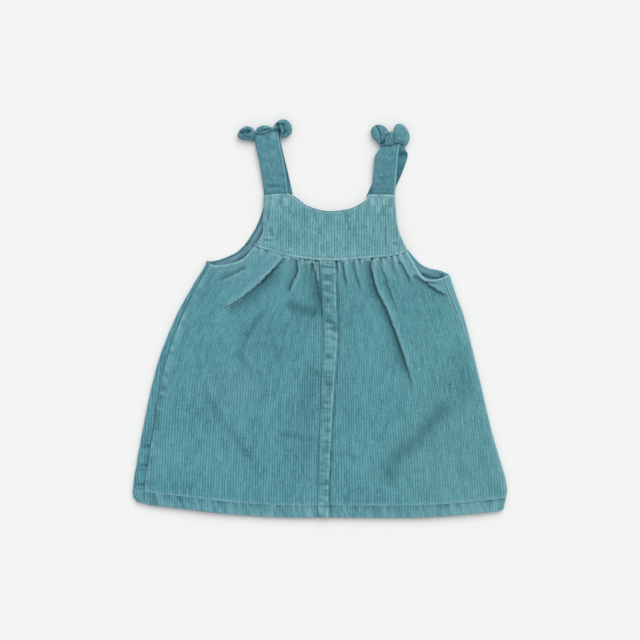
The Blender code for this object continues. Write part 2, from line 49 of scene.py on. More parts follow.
mm = 0.001
outline = {
    "neck": [(-31, 125.5), (-24, 120.5), (-12, 112), (5, 107), (20, 107.3), (35, 111), (45, 117.5),
             (48.6, 124.2)],
    "leftTab": [(-55.6, 123.6), (-43, 124.8), (-31, 125.5)],
    "rightTab": [(48.6, 124.2), (62, 124.3), (75.4, 123.6)],
    "yokeLeft": [(-66, 72.8), (-60, 80.5), (-56.8, 88), (-57, 98), (-56, 112), (-55.6, 123.6)],
    "yokeRight": [(87.6, 68), (81, 82), (77.5, 94), (76, 108), (75.4, 123.6)],
    "yokeSeam": [(-66, 72.8), (-50, 68), (-30, 62.2), (10, 58), (50, 60.8), (75, 63.2), (87.6, 68)],
    "leftArmhole": [(-110.2, 55.5), (-102, 53.8), (-88, 55.8), (-76, 61), (-66.4, 72)],
    "rightArmhole": [(88, 67), (96, 53), (104, 41.8), (112, 39.3), (121, 41), (129.5, 44.5)],
    "left": [(-183.4, -181.6), (-186.4, -169), (-177, -113), (-163, -49), (-145, -1), (-128, 31), (-113, 55)],
    "right": [(184.4, -183), (186.4, -164), (172, -113), (157, -49), (145, -1), (135.6, 26), (129.8, 44)],
    "hemLeft": [(-171.3, -185.2), (-140, -188.8), (-100, -193.5), (-60, -196.7), (-20, -198), (8.2, -197.6)],
    "hemRight": [(-2.2, -197.6), (40, -198), (94, -198), (130, -196.2), (165, -193), (181.5, -190.6),
                 (184.4, -183)],
    "fellLeft": [(-2.2, -197.6), (-1.8, -161), (0.8, -81), (3.4, -21), (2, 19), (-1, 58.2)],
    "fellRight": [(8.2, -197.6), (8.5, -161), (13, -81), (17, -21), (16, 19), (15, 58)],
    "backLeftArmhole": [(-110.4, 57.4), (-100, 59.2), (-85, 65.4), (-79.4, 69.6), (-75.2, 74.0)],
    "backRightArmhole": [(87, 70.2), (100, 55.6), (110, 50.4), (120, 48.4), (129, 44.6)],
    "backYokeSeam": [(-74.9, 73.9), (-30, 67), (10, 65), (50, 66), (87, 70.2)],
    "backYokeLeft": [(-74.9, 74.1), (-70.8, 79.8), (-66, 87), (-60, 99.5), (-56.6, 110), (-53.6, 124)],
    "backYokeRight": [(87, 70.2), (80, 84), (76, 98), (74.6, 110), (74.2, 122)],
    "backLeftEdge": [(-110.4, 57.4), (-100, 59.2), (-85, 65.4), (-75, 73.6), (-66, 87), (-60, 99.5),
                     (-56.6, 110)],
    "backNeck": [(-28.6, 124.4), (-23, 121.2), (-12, 113), (5, 108.2), (20, 108.4), (35, 112), (50.5, 121.8)],
}


# Curves and grids.

def smoothPath(points, count):
    known = np.array(points, float)
    padded = np.vstack([2 * known[0] - known[1], known, 2 * known[-1] - known[-2]])
    share = np.linspace(0, 1, 24, endpoint=False)[:, None]
    spans = []
    for i in range(len(known) - 1):
        a, b, c, d = padded[i:i + 4]
        bend = (2 * a - 5 * b + 4 * c - d) * share**2 + (3 * b - a - 3 * c + d) * share**3
        spans.append(b + 0.5 * ((c - a) * share + bend))
    fine = np.vstack([*spans, known[-1:]])
    run = np.concatenate([[0], np.cumsum(np.linalg.norm(np.diff(fine, axis=0), axis=1))])
    places = np.linspace(0, run[-1], count + 1)
    return np.column_stack([np.interp(places, run, fine[:, k]) for k in range(fine.shape[1])])


def runLength(path):
    return np.concatenate([[0], np.cumsum(np.linalg.norm(np.diff(path, axis=0), axis=1))])


def readPath(points, shares):
    fine = smoothPath(points, 400)
    along = np.linspace(0, 1, len(fine))
    return np.column_stack([np.interp(shares, along, fine[:, k]) for k in range(fine.shape[1])])


def joinPaths(*paths):
    return np.vstack([paths[0], *[path[1:] for path in paths[1:]]])


def fillPatch(bottom, top, left, right, rows):  # a grid of (x, y) filled in between four edges
    run = runLength(top)
    across = (run / run[-1])[None, :, None]
    up = np.array(rows)[:, None, None]
    sides = (1 - across) * left[:, None, :] + across * right[:, None, :]
    ends = (1 - up) * bottom[None] + up * top[None]
    low = (1 - across) * bottom[0] + across * bottom[-1]
    high = (1 - across) * top[0] + across * top[-1]
    return sides + ends - (1 - up) * low - up * high


def nearest(places, path):  # distance from a path, signed (left of it is positive), and share along it
    flat = places.reshape(-1, 2)
    starts = path[:-1]
    spans = path[1:] - starts
    lengths = (spans**2).sum(-1)
    gap = np.empty(len(flat))
    along = np.empty(len(flat))
    for i in range(0, len(flat), 8000):
        offsets = flat[i:i + 8000, None, :] - starts
        share = np.clip((offsets * spans).sum(-1) / lengths, 0, 1)
        gaps = np.linalg.norm(offsets - share[..., None] * spans, axis=-1)
        best = gaps.argmin(-1)
        rows = np.arange(len(best))
        cross = spans[best, 0] * offsets[rows, best, 1] - spans[best, 1] * offsets[rows, best, 0]
        gap[i:i + 8000] = gaps[rows, best] * np.where(cross < 0, -1, 1)
        along[i:i + 8000] = (best + share[rows, best]) / len(spans)
    return gap.reshape(places.shape[:-1]), along.reshape(places.shape[:-1])


def smoothStep(value, low, high):
    share = np.clip((value - low) / (high - low), 0, 1)
    return share * share * (3 - 2 * share)


def bell(value, middle, width):  # 1 at the middle, and gone by two widths from it
    return np.exp(-(((value - middle) / width) ** 2))


def softNoise(places, scale, seed):  # smooth noise about 0, from -1 to 1, with lumps of the given size
    lattice = np.random.RandomState(seed).uniform(-1, 1, (97, 97))
    spot = places / np.array(scale, float) + 1000.0
    cell = np.floor(spot).astype(int)
    share = spot - cell
    share = share * share * (3 - 2 * share)
    x0, y0 = cell[..., 0] % 97, cell[..., 1] % 97
    x1, y1 = (x0 + 1) % 97, (y0 + 1) % 97
    low = lattice[x0, y0] * (1 - share[..., 0]) + lattice[x1, y0] * share[..., 0]
    high = lattice[x0, y1] * (1 - share[..., 0]) + lattice[x1, y1] * share[..., 0]
    return low * (1 - share[..., 1]) + high * share[..., 1]


def stepsIn(length, zones):  # shares of a length, spaced by the step of each (start, end, step) zone
    marks = [0.0]
    for start, end, step in zones:
        count = max(1, round((end - start) / step))
        marks += list(np.linspace(start, end, count + 1)[1:])
    return np.array(marks) / length


def hexColour(code):
    parts = [int(code[i:i + 2], 16) / 255 for i in (1, 3, 5)]
    return (*[c / 12.92 if c <= 0.04045 else ((c + 0.055) / 1.055) ** 2.4 for c in parts], 1)


def addNode(tree, kind, settings=None, links=None):  # a link is a socket, a node's first output, or a value
    node = tree.nodes.new(kind)
    for key, value in (settings or {}).items():
        setattr(node, key, value)
    for key, value in (links or {}).items():
        if isinstance(value, bpy.types.Node):
            value = value.outputs[0]
        if isinstance(value, bpy.types.NodeSocket):
            tree.links.new(value, node.inputs[key])
        else:
            node.inputs[key].default_value = value
    return node


def startMaterial(name, roughness, sheen):
    made = bpy.data.materials.new(name)
    made.use_nodes = True
    shader = made.node_tree.nodes["Principled BSDF"]
    shader.inputs["Roughness"].default_value = roughness
    shader.inputs["Specular IOR Level"].default_value = 0.18
    shader.inputs["Sheen Weight"].default_value = sheen
    shader.inputs["Sheen Roughness"].default_value = 0.55
    return made, made.node_tree, shader


flatNoise, solidNoise = {"noise_dimensions": "2D"}, {"noise_dimensions": "3D"}
mixing = {"data_type": "RGBA"}
shading = {"data_type": "RGBA", "blend_type": "MULTIPLY"}      # keeps the pattern of the cloth in a crease
# The tint that painted shade multiplies the cloth by, in creases and hollows.
paintedShadeTint = (0.07, 0.17, 0.19, 1)
greenTurn = (1.04, 1.0, 0.92, 1)


# Cotton corduroy, piece dyed and washed many times: rounded wales of cut pile with thin, darker grooves
# between them (their own darker ground, and painted shade in their hollows), a nap rubbed paler in short
# streaks along the wales, dye worn off seams and edges, and painted highlight and painted shade on folds.
def corduroy(name, crest, groove, worn, uneven):
    made, tree, shader = startMaterial(name, 0.93, 0.10)
    cut = addNode(tree, "ShaderNodeUVMap", {"uv_map": "cut"})
    split = addNode(tree, "ShaderNodeSeparateXYZ", links={0: cut})
    wale = addNode(tree, "ShaderNodeMath", {"operation": "MULTIPLY"},
                   {0: split, 1: 1000 / corduroySizes["pitch"]})
    turn = addNode(tree, "ShaderNodeMath", {"operation": "MULTIPLY"}, {0: wale, 1: math.pi})
    wave = addNode(tree, "ShaderNodeMath", {"operation": "SINE"}, {0: turn})
    ridge = addNode(tree, "ShaderNodeMath", {"operation": "ABSOLUTE"}, {0: wave})
    row = addNode(tree, "ShaderNodeMath", {"operation": "FLOOR"}, {0: wale})
    # Streaks: each wale has its own run of paler and darker nap, 10 to 16 mm long.
    streakSpot = addNode(tree, "ShaderNodeCombineXYZ", links={0: row, 1: split.outputs[1]})
    streakScale = addNode(tree, "ShaderNodeMapping", links={"Vector": streakSpot, "Scale": (7.31, 62, 1)})
    streak = addNode(tree, "ShaderNodeTexNoise", flatNoise,
                     {"Vector": streakScale, "Scale": 1.0, "Detail": 4.0, "Roughness": 0.72})
    # Nap: tufts about 0.8 mm across and 2.5 mm long, and the grain of single tufts that lie another way.
    napScale = addNode(tree, "ShaderNodeMapping", links={"Vector": cut, "Scale": (1250, 400, 1)})
    nap = addNode(tree, "ShaderNodeTexNoise", flatNoise,
                  {"Vector": napScale, "Scale": 1.0, "Detail": 2.0, "Roughness": 0.55})
    grain = addNode(tree, "ShaderNodeTexNoise", flatNoise,
                    {"Vector": cut, "Scale": 900.0, "Detail": 1.0, "Roughness": 0.5})
    spot = addNode(tree, "ShaderNodeTexCoord")
    # Clouds of paler and darker dye, about 50 mm across.
    cloudScale = addNode(tree, "ShaderNodeMapping",
                         links={"Vector": spot.outputs["Object"], "Scale": (26, 18, 18)})
    cloud = addNode(tree, "ShaderNodeTexNoise", solidNoise,
                    {"Vector": cloudScale, "Scale": 1.0, "Detail": 0.0})
    # From groove to crest: the grooves' darker colour is partly the cloth's own ground and partly painted
    # shade in their hollows.
    share = addNode(tree, "ShaderNodeMapRange", {"interpolation_type": "SMOOTHSTEP"},
                    {0: ridge, 1: 0.05, 2: 1.0, 3: 0.24, 4: 0.80})
    for noise, low, high, reach in (
            (streak, 0.30, 0.70, uneven), (nap, 0.25, 0.75, 0.22), (grain, 0.28, 0.72, 0.28),
            (cloud, 0.30, 0.70, 0.10)):
        moved = addNode(tree, "ShaderNodeMapRange", links={0: noise, 1: low, 2: high, 3: -reach, 4: reach})
        share = addNode(tree, "ShaderNodeMath", {"operation": "ADD", "use_clamp": noise is cloud},
                        {0: share, 1: moved})
    pile = addNode(tree, "ShaderNodeMix", mixing, {0: share, 6: hexColour(groove), 7: hexColour(crest)})
    # The dye has turned a little greener towards the wearer's left.
    across = addNode(tree, "ShaderNodeSeparateXYZ", links={0: spot.outputs["Object"]})
    turned = addNode(tree, "ShaderNodeMapRange", links={0: across, 1: -0.16, 2: 0.20, 3: 0.0, 4: 1.0})
    green = addNode(tree, "ShaderNodeMix", shading, {0: turned, 6: pile.outputs[2], 7: greenTurn})
    # Paler where the nap is really worn, and painted highlight on fold ridges, crests and raised edges; both
    # mix in the worn colour.
    wearAndHighlight = addNode(tree, "ShaderNodeAttribute", {"attribute_name": "wearAndHighlight"})
    wearAndHighlightShare = addNode(tree, "ShaderNodeMath", {"operation": "MULTIPLY", "use_clamp": True},
                        {0: wearAndHighlight.outputs["Fac"], 1: 0.8})
    rubbedAndLit = addNode(tree, "ShaderNodeMix", mixing, {0: wearAndHighlightShare, 6: green.outputs[2], 7: hexColour(worn)})
    # Painted shade: the dark attribute multiplies the colour by the tint above in creases, hollows, grooves,
    # under edges and between layers, keeping the pile's pattern. It also carries a few real dark marks.
    dark = addNode(tree, "ShaderNodeAttribute", {"attribute_name": "dark"})
    shaded = addNode(tree, "ShaderNodeMix", shading,
                     {0: dark.outputs["Fac"], 6: rubbedAndLit.outputs[2], 7: paintedShadeTint})
    tree.links.new(shaded.outputs[2], shader.inputs["Base Color"])
    # The wales are narrower than the mesh can show, so their roundness is bump.
    wales = addNode(tree, "ShaderNodeBump", links={"Height": ridge, "Strength": 0.4, "Distance": 0.0004})
    bump = addNode(tree, "ShaderNodeBump", links={"Height": nap, "Strength": 0.5, "Distance": 0.0003,
                                                  "Normal": wales})
    tree.links.new(bump.outputs[0], shader.inputs["Normal"])
    return made


# Cotton twill, smooth and close: fine diagonal lines, a soft mottle from washing, paler edges (worn, and
# painted highlight where a turned edge catches the light), and painted shade mixed in from the deep colour.
def twill(name, main, worn, deep):
    made, tree, shader = startMaterial(name, 0.86, 0.06)
    cut = addNode(tree, "ShaderNodeUVMap", {"uv_map": "cut"})
    # A real twill line is 0.4 mm wide. It is drawn 0.8 mm wide so that it can be made out.
    slanted = addNode(tree, "ShaderNodeMapping",
                      links={"Vector": cut, "Rotation": (0, 0, math.radians(40)), "Scale": (1250, 200, 1)})
    weave = addNode(tree, "ShaderNodeTexNoise", flatNoise,
                    {"Vector": slanted, "Scale": 1.0, "Detail": 2.0, "Roughness": 0.6})
    spot = addNode(tree, "ShaderNodeTexCoord")
    cloud = addNode(tree, "ShaderNodeTexNoise", solidNoise,
                    {"Vector": spot.outputs["Object"], "Scale": 260.0, "Detail": 4.0, "Roughness": 0.65})
    cloudShare = addNode(tree, "ShaderNodeMapRange", links={0: cloud, 1: 0.30, 2: 0.72, 3: 0.0, 4: 0.75})
    lineShare = addNode(tree, "ShaderNodeMapRange", links={0: weave, 1: 0.3, 2: 0.7, 3: 0.42, 4: 0.0})
    wearAndHighlight = addNode(tree, "ShaderNodeAttribute", {"attribute_name": "wearAndHighlight"})
    dark = addNode(tree, "ShaderNodeAttribute", {"attribute_name": "dark"})
    colour = hexColour(main)
    # The worn colour comes in for real wear and painted highlight; the deep colour comes in for the twill
    # lines and as painted shade.
    for share, other in ((cloudShare, worn), (lineShare, deep), (wearAndHighlight.outputs["Fac"], worn),
                         (dark.outputs["Fac"], deep)):
        colour = addNode(tree, "ShaderNodeMix", mixing, {0: share, 6: colour, 7: hexColour(other)}).outputs[2]
    tree.links.new(colour, shader.inputs["Base Color"])
    bump = addNode(tree, "ShaderNodeBump", links={"Height": weave, "Strength": 0.35, "Distance": 0.0002})
    tree.links.new(bump.outputs[0], shader.inputs["Normal"])
    return made


# Spun polyester sewing thread, dyed to match: two plies twisted, a little smoother than the cloth.
def thread(name, colour, fleckColour):
    made, tree, shader = startMaterial(name, 0.6, 0.0)
    spot = addNode(tree, "ShaderNodeTexCoord")
    fleck = addNode(tree, "ShaderNodeTexNoise", solidNoise,
                    {"Vector": spot.outputs["Object"], "Scale": 700.0, "Detail": 1.0})
    share = addNode(tree, "ShaderNodeMapRange", links={0: fleck, 1: 0.3, 2: 0.7, 3: 0.0, 4: 0.5})
    mixed = addNode(tree, "ShaderNodeMix", mixing,
                    {0: share, 6: hexColour(colour), 7: hexColour(fleckColour)})
    tree.links.new(mixed.outputs[2], shader.inputs["Base Color"])
    return made


corduroySizes = {
    "pitch": 2.75,     # 9 wales to the inch
    "rise": 0.12,      # pile above the groove, in the mesh
    "wobble": 0.45,    # how far a wale strays sideways
}

skirtCord = corduroy("washedCorduroy", "#65a3af", "#397382", "#8fbdc4", 0.30)
# The yoke's copy of the corduroy is paler: painted light, for the flat yoke whose nap catches more light than
# the gathered skirt.
yokeCord = corduroy("washedCorduroyYokePaintedLight", "#78afba", "#41808c", "#a4cdd1", 0.40)
strapTwill = twill("cottonTwill", "#4c8b9a", "#7ab0ba", "#1b4a55")
facingTwill = twill("cottonTwillFacing", "#5f8c9e", "#7fa7b6", "#27545f")
seamThread = thread("sewingThread", "#9ac6cb", "#5d929b")
print("materials made")


def makePiece(name, points, faces, material, cut, wearAndHighlight=None, dark=None):
    mesh = bpy.data.meshes.new(name)
    placed = (points + layOff) * mm
    placed[:, 2] = np.maximum(placed[:, 2], 0)      # the cloth lies on the table
    mesh.from_pydata(placed.tolist(), [], faces)
    layer = mesh.uv_layers.new(name="cut")
    corners = np.empty(len(mesh.loops), dtype=np.int32)
    mesh.loops.foreach_get("vertex_index", corners)
    layer.data.foreach_set("uv", (np.asarray(cut) * mm)[corners].astype(np.float32).ravel())
    for key, values in (("wearAndHighlight", wearAndHighlight), ("dark", dark)):
        worn = mesh.attributes.new(key, "FLOAT", "POINT")
        level = np.zeros(len(points)) if values is None else np.clip(values, 0, 1)
        worn.data.foreach_set("value", np.asarray(level, np.float32))
    mesh.materials.append(material)
    mesh.shade_smooth()
    mesh.validate()
    piece = bpy.data.objects.new(name, mesh)
    bpy.context.scene.collection.objects.link(piece)
    return piece


def gridFaces(index, flip=False):
    a, b = index[:-1, :-1].ravel(), index[:-1, 1:].ravel()
    c, d = index[1:, 1:].ravel(), index[1:, :-1].ravel()
    quads = np.column_stack([a, d, c, b] if flip else [a, b, c, d])
    return quads.tolist()


def everyNth(count, step):
    return np.unique(np.concatenate([np.arange(0, count, step), [count - 1]]))


def rimFaces(outer, inner, picks):  # joins a fine edge to a coarse one, whose points sit at the picks
    faces = []
    for k in range(len(picks) - 1):
        first, last = picks[k], picks[k + 1]
        middle = (first + last) // 2
        a, b = inner[k], inner[k + 1]
        faces.append((a, b, outer[middle]))
        for i in range(first, last):
            faces.append((a if i < middle else b, outer[i + 1], outer[i]))
    return faces


# steps: how many rows and columns of the outer face go into one of the coarser inner face
def clothShell(name, outer, inner, material, cut, wearAndHighlight, dark, steps=(5, 6)):
    # A closed wall of cloth: a fine face side, and a coarse wrong side that is sewn to its edge.
    rows, columns = outer.shape[:2]
    rowPicks, columnPicks = everyNth(rows, steps[0]), everyNth(columns, steps[1])
    coarse = inner[np.ix_(rowPicks, columnPicks)]
    fineIndex = np.arange(rows * columns).reshape(rows, columns)
    coarseIndex = rows * columns + np.arange(coarse.shape[0] * coarse.shape[1]).reshape(coarse.shape[:2])
    faces = gridFaces(fineIndex) + gridFaces(coarseIndex, flip=True)
    faces += rimFaces(fineIndex[0], coarseIndex[0], columnPicks)
    faces += rimFaces(fineIndex[:, -1], coarseIndex[:, -1], rowPicks)
    faces += rimFaces(fineIndex[-1, ::-1], coarseIndex[-1, ::-1], columns - 1 - columnPicks[::-1])
    faces += rimFaces(fineIndex[::-1, 0], coarseIndex[::-1, 0], rows - 1 - rowPicks[::-1])
    picked = np.ix_(rowPicks, columnPicks)
    points = np.vstack([outer.reshape(-1, 3), coarse.reshape(-1, 3)])
    cutAll = np.vstack([cut.reshape(-1, 2), cut[picked].reshape(-1, 2)])
    wearAndHighlightAll = np.concatenate([wearAndHighlight.ravel(), wearAndHighlight[picked].ravel()])
    darkAll = np.concatenate([dark.ravel(), dark[picked].ravel()])
    return makePiece(name, points, faces, material, cutAll, wearAndHighlightAll, darkAll)


def finishPiece(piece, nodes):
    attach(piece, "root")
    if nodes:
        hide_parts(*nodes)
    return piece


def waleRise(wales, rows, squeeze, seed):  # the pile's height over the cloth, from wale numbers in mm
    number = wales / corduroySizes["pitch"]
    ridge = np.abs(np.sin(np.pi * number)) ** 0.8
    cell = np.stack([np.floor(number) * 3.7, rows / 9], axis=-1)
    uneven = 1 + 0.28 * softNoise(cell, 1, seed)
    fade = np.clip((2.9 - squeeze) / 1.2, 0.12, 1)
    return corduroySizes["rise"] * (ridge * uneven - 0.62) * fade


def stray(wales, rows, seed):  # each wale's own small wandering, in mm
    return 0.34 * softNoise(np.stack([wales, rows], axis=-1), (3.6, 15), seed)


def squeezeOf(wales, grid):  # how many mm of cloth lie in each mm across
    change = np.abs(np.gradient(wales, axis=1))
    width = np.linalg.norm(np.gradient(grid, axis=1), axis=-1)
    return change / np.maximum(width, 1e-6)


form = {
    "cord": 1.4,
    "skirtTop": 6.2,
    "armholeTop": 4.7,
    "sideSeamTop": 5.0,
    "rightEdgeTop": 3.2,
    "edgeFall": 6.0,
    "yokeTop": 5.5,
    "yokeSeamTop": 6.4,
    "fellRise": 1.5,
    "hemDepth": 12.5,
    "wrapLean": math.radians(14),
    "softFold": 0.85,      # a lower rise that takes up no cloth is a soft wave, with no crease line
}

sideSeamInset = [  # share from hem to armhole, inset of the left side seam
    (0.00, 12.0), (0.08, 11.0), (0.22, 10.5), (0.45, 8.0), (0.75, 5.2), (0.92, 3.6), (1.00, 2.7),
]

# Folds of the front skirt: the cloth rises steeply on the left of the path, and lies low on its right.
# panel, rise, ditch, ridge width, ditch width, taper in, taper out, take-up, shade (strength of the painted
# shade in the crease and painted highlight on the ridge), path
folds = [
    ("left", 2.4, 1.7, 9.0, 10.0, 0.14, 0.35, 0.5, 1.05,
     [(-98, 9), (-80, 19), (-65, 31), (-55, 39.5), (-45, 50.5), (-35, 61.5)]),
    ("left", 0.9, 0.9, 4.0, 2.0, 0.10, 0.02, 0.0, 0.80, [(-60, 36), (-45, 50.5), (-35, 61.5)]),
    ("left", 1.2, 0.9, 5.0, 4.0, 0.15, 0.40, 0.3, 0.95, [(-71, 52), (-83, 46), (-102, 36)]),
    ("left", 0.9, 1.8, 5.0, 4.4, 0.05, 0.15, 0.5, 1.15, [(-22, 60), (-22.5, 46), (-27, 36), (-31, 25)]),
    ("left", 0.9, 2.0, 5.0, 9.0, 0.05, 0.20, 0.4, 0.95,
     [(-7, 57), (-4.5, 46), (-1.5, 34), (1, 19), (4, 4), (5, -4)]),
    ("left", 0.8, 0.8, 8.0, 11.0, 0.25, 0.10, 0.0, 1.10, [(-36, 19), (-20, 11), (-2, 5)]),
    ("left", 0.7, 0.6, 9.0, 7.0, 0.25, 0.35, 0.0, 0.78,
     [(-48, 12), (-62, -3), (-73, -20), (-78, -36), (-68, -53), (-60, -70)]),
    ("left", 0.6, 0.5, 9.0, 7.0, 0.30, 0.30, 0.0, 0.55,
     [(-123, -56), (-108, -82), (-92, -107), (-70, -136), (-50, -150)]),
    ("left", 0.6, 0.6, 4.0, 6.0, 0.30, 0.30, 0.0, 0.70, [(-14, -47), (-6, -50), (6, -61)]),
    ("left", 0.5, 0.5, 5.0, 6.0, 0.30, 0.30, 0.0, 0.55, [(-46, -113), (-22, -116), (2, -121)]),
    ("left", 0.4, 0.4, 9.0, 16.0, 0.30, 0.30, 0.0, 0.35, [(-8, -44), (-12, -80), (-14, -112)]),
    ("right", 1.9, 1.7, 6.0, 6.5, 0.03, 0.30, 0.5, 1.25,
     [(50, 60), (52.5, 44), (56.6, 29), (66, 11), (73, -8), (81, -29), (91, -61), (97, -78)]),
    ("right", 1.2, 1.0, 5.0, 3.6, 0.03, 0.55, 0.4, 0.45, [(58, 60), (66, 39), (73, 19), (85, -6)]),
    ("right", 0.8, 1.2, 5.0, 3.4, 0.03, 0.45, 0.4, 0.90, [(23.6, 57), (25, 44), (29, 29)]),
    ("right", 0.8, 1.1, 4.0, 3.0, 0.03, 0.50, 0.3, 0.62, [(34, 58), (38, 39), (45, 22)]),
    ("right", 1.0, 0.9, 5.0, 3.4, 0.03, 0.60, 0.3, 0.40, [(70, 61), (75, 49), (80, 40)]),
    ("right", 1.0, 0.9, 5.0, 3.6, 0.03, 0.40, 0.3, 0.85, [(80, 58), (89, 42), (93, 32)]),
    ("right", 1.0, 1.2, 5.0, 4.5, 0.10, 0.12, 0.0, 1.15,
     [(94, 46), (100, 40.5), (107, 35.5), (115, 30), (127, 23)]),
    ("right", 0.9, 0.6, 3.0, 2.5, 0.30, 0.30, 0.0, 0.70, [(105, 38.5), (111, 36.8), (118, 37)]),
    ("right", 0.7, 0.8, 14.0, 15.0, 0.14, 0.20, 0.0, 1.10,
     [(68, -170), (69, -154), (76, -137), (95, -121), (120, -91), (138, -76)]),
    ("right", 0.4, 0.4, 5.0, 5.0, 0.30, 0.30, 0.0, 0.40, [(16, -131), (32, -136), (48, -140)]),
    ("right", 0.4, 0.4, 9.0, 10.0, 0.30, 0.20, 0.0, 0.40, [(140, -104), (141, -76), (139, -20)]),
]

# Small gathers under the yoke: where along the seam, how far they lean, depth, width, length.
gathers = [
    ("left", -60.5, -5.0, 0.4, 1.3, 9), ("left", -52.0, -6.0, 0.5, 1.5, 11),
    ("left", -43.0, -5.0, 0.4, 1.3, 8),
    ("left", -29.0, -2.0, 0.5, 1.2, 7), ("left", -20.2, 0.5, 1.2, 1.1, 8), ("left", -15.5, 1.0, 0.6, 1.1, 9),
    ("left", -11.0, 0.5, 0.4, 1.0, 5), ("left", -7.4, -0.5, 1.3, 1.2, 17), ("left", -4.3, 1.5, 1.3, 1.1, 24),
    ("right", 3.0, 0.4, 0.7, 1.0, 7), ("right", 16.4, 2.0, 1.2, 1.1, 16), ("right", 20.0, 1.0, 0.5, 1.0, 6),
    ("right", 29.5, 1.5, 0.5, 1.0, 6), ("right", 39.0, 2.0, 0.9, 1.1, 10), ("right", 44.0, 2.0, 0.4, 1.1, 6),
    ("right", 51.4, 3.0, 1.2, 1.2, 14), ("right", 60.0, 4.0, 1.1, 1.1, 12), ("right", 65.0, 3.0, 0.4, 1.0, 6),
    ("right", 71.2, 4.0, 0.9, 1.1, 10), ("right", 76.5, 5.0, 0.8, 1.1, 12), ("right", 82.5, 6.0, 0.5, 1.1, 8),
]


def foldForm(places, sizes, points, soft=False):
    # What a fold adds to the height, and how deep in its crease and how near its ridge each place is: the
    # weights of its painted shade and painted highlight.
    rise, ditch, ridgeWidth, ditchWidth, taperIn, taperOut = sizes
    across, along = nearest(places, smoothPath(points, 30))
    across = across + 0.7 * softNoise(places, (2.8, 2.8), 17)
    taper = smoothStep(along, 0, taperIn) * (1 - smoothStep(along, 1 - taperOut, 1))
    reach = 4.5 if soft else 1.4
    up = smoothStep(across, -reach, reach)
    ridge = rise * up * np.exp(-np.clip((across - 1.5) / ridgeWidth, 0, 9) ** 1.6)
    trough = ditch * (1 - up) * np.exp(-np.clip((-1.3 - across) / ditchWidth, 0, 9) ** 1.6)
    if soft:
        core, crest = 0.62 * bell(across, -1, 0.6 * ditchWidth), 0 * across
    else:
        core = 0.7 * bell(across, -0.4, 0.9) + 0.80 * (1 - up) * bell(across, 0, ditchWidth)
        crest = bell(across, 2.0, 0.35 * ridgeWidth)
    return taper * (ridge - trough), taper * core, taper * crest


def edgeRoll(gap, radius, drop):  # how far a turned edge curves down within the radius
    inside = np.clip(1 - np.abs(gap) / radius, 0, 1)
    return -drop * (1 - np.sqrt(1 - inside**2 + 1e-9))


def groove(gap, place, width, depth):
    return -depth * bell(gap, place, width)


def sideSeam(shares):
    edge = readPath(outline["left"], shares)
    table = np.array(sideSeamInset)
    inset = np.interp(shares, table[:, 0], table[:, 1])[:, None]
    inward = np.array([math.cos(form["wrapLean"]), -math.sin(form["wrapLean"])])
    return edge, edge + inset * inward, inward


lines = {key: smoothPath(points, 90) for key, points in outline.items()}
lines["hem"] = joinPaths(smoothPath([(-205, -178), (-171.3, -185.2)], 4), lines["hemLeft"][:-6],
                         lines["hemRight"][6:76], smoothPath([(165, -193), (210, -189)], 4))
lines["sideSeam"] = sideSeam(np.linspace(0, 1, 61))[1]
lines["yokeEdge"] = joinPaths(lines["yokeLeft"], lines["leftTab"], lines["neck"], lines["rightTab"],
                              lines["yokeRight"][::-1])
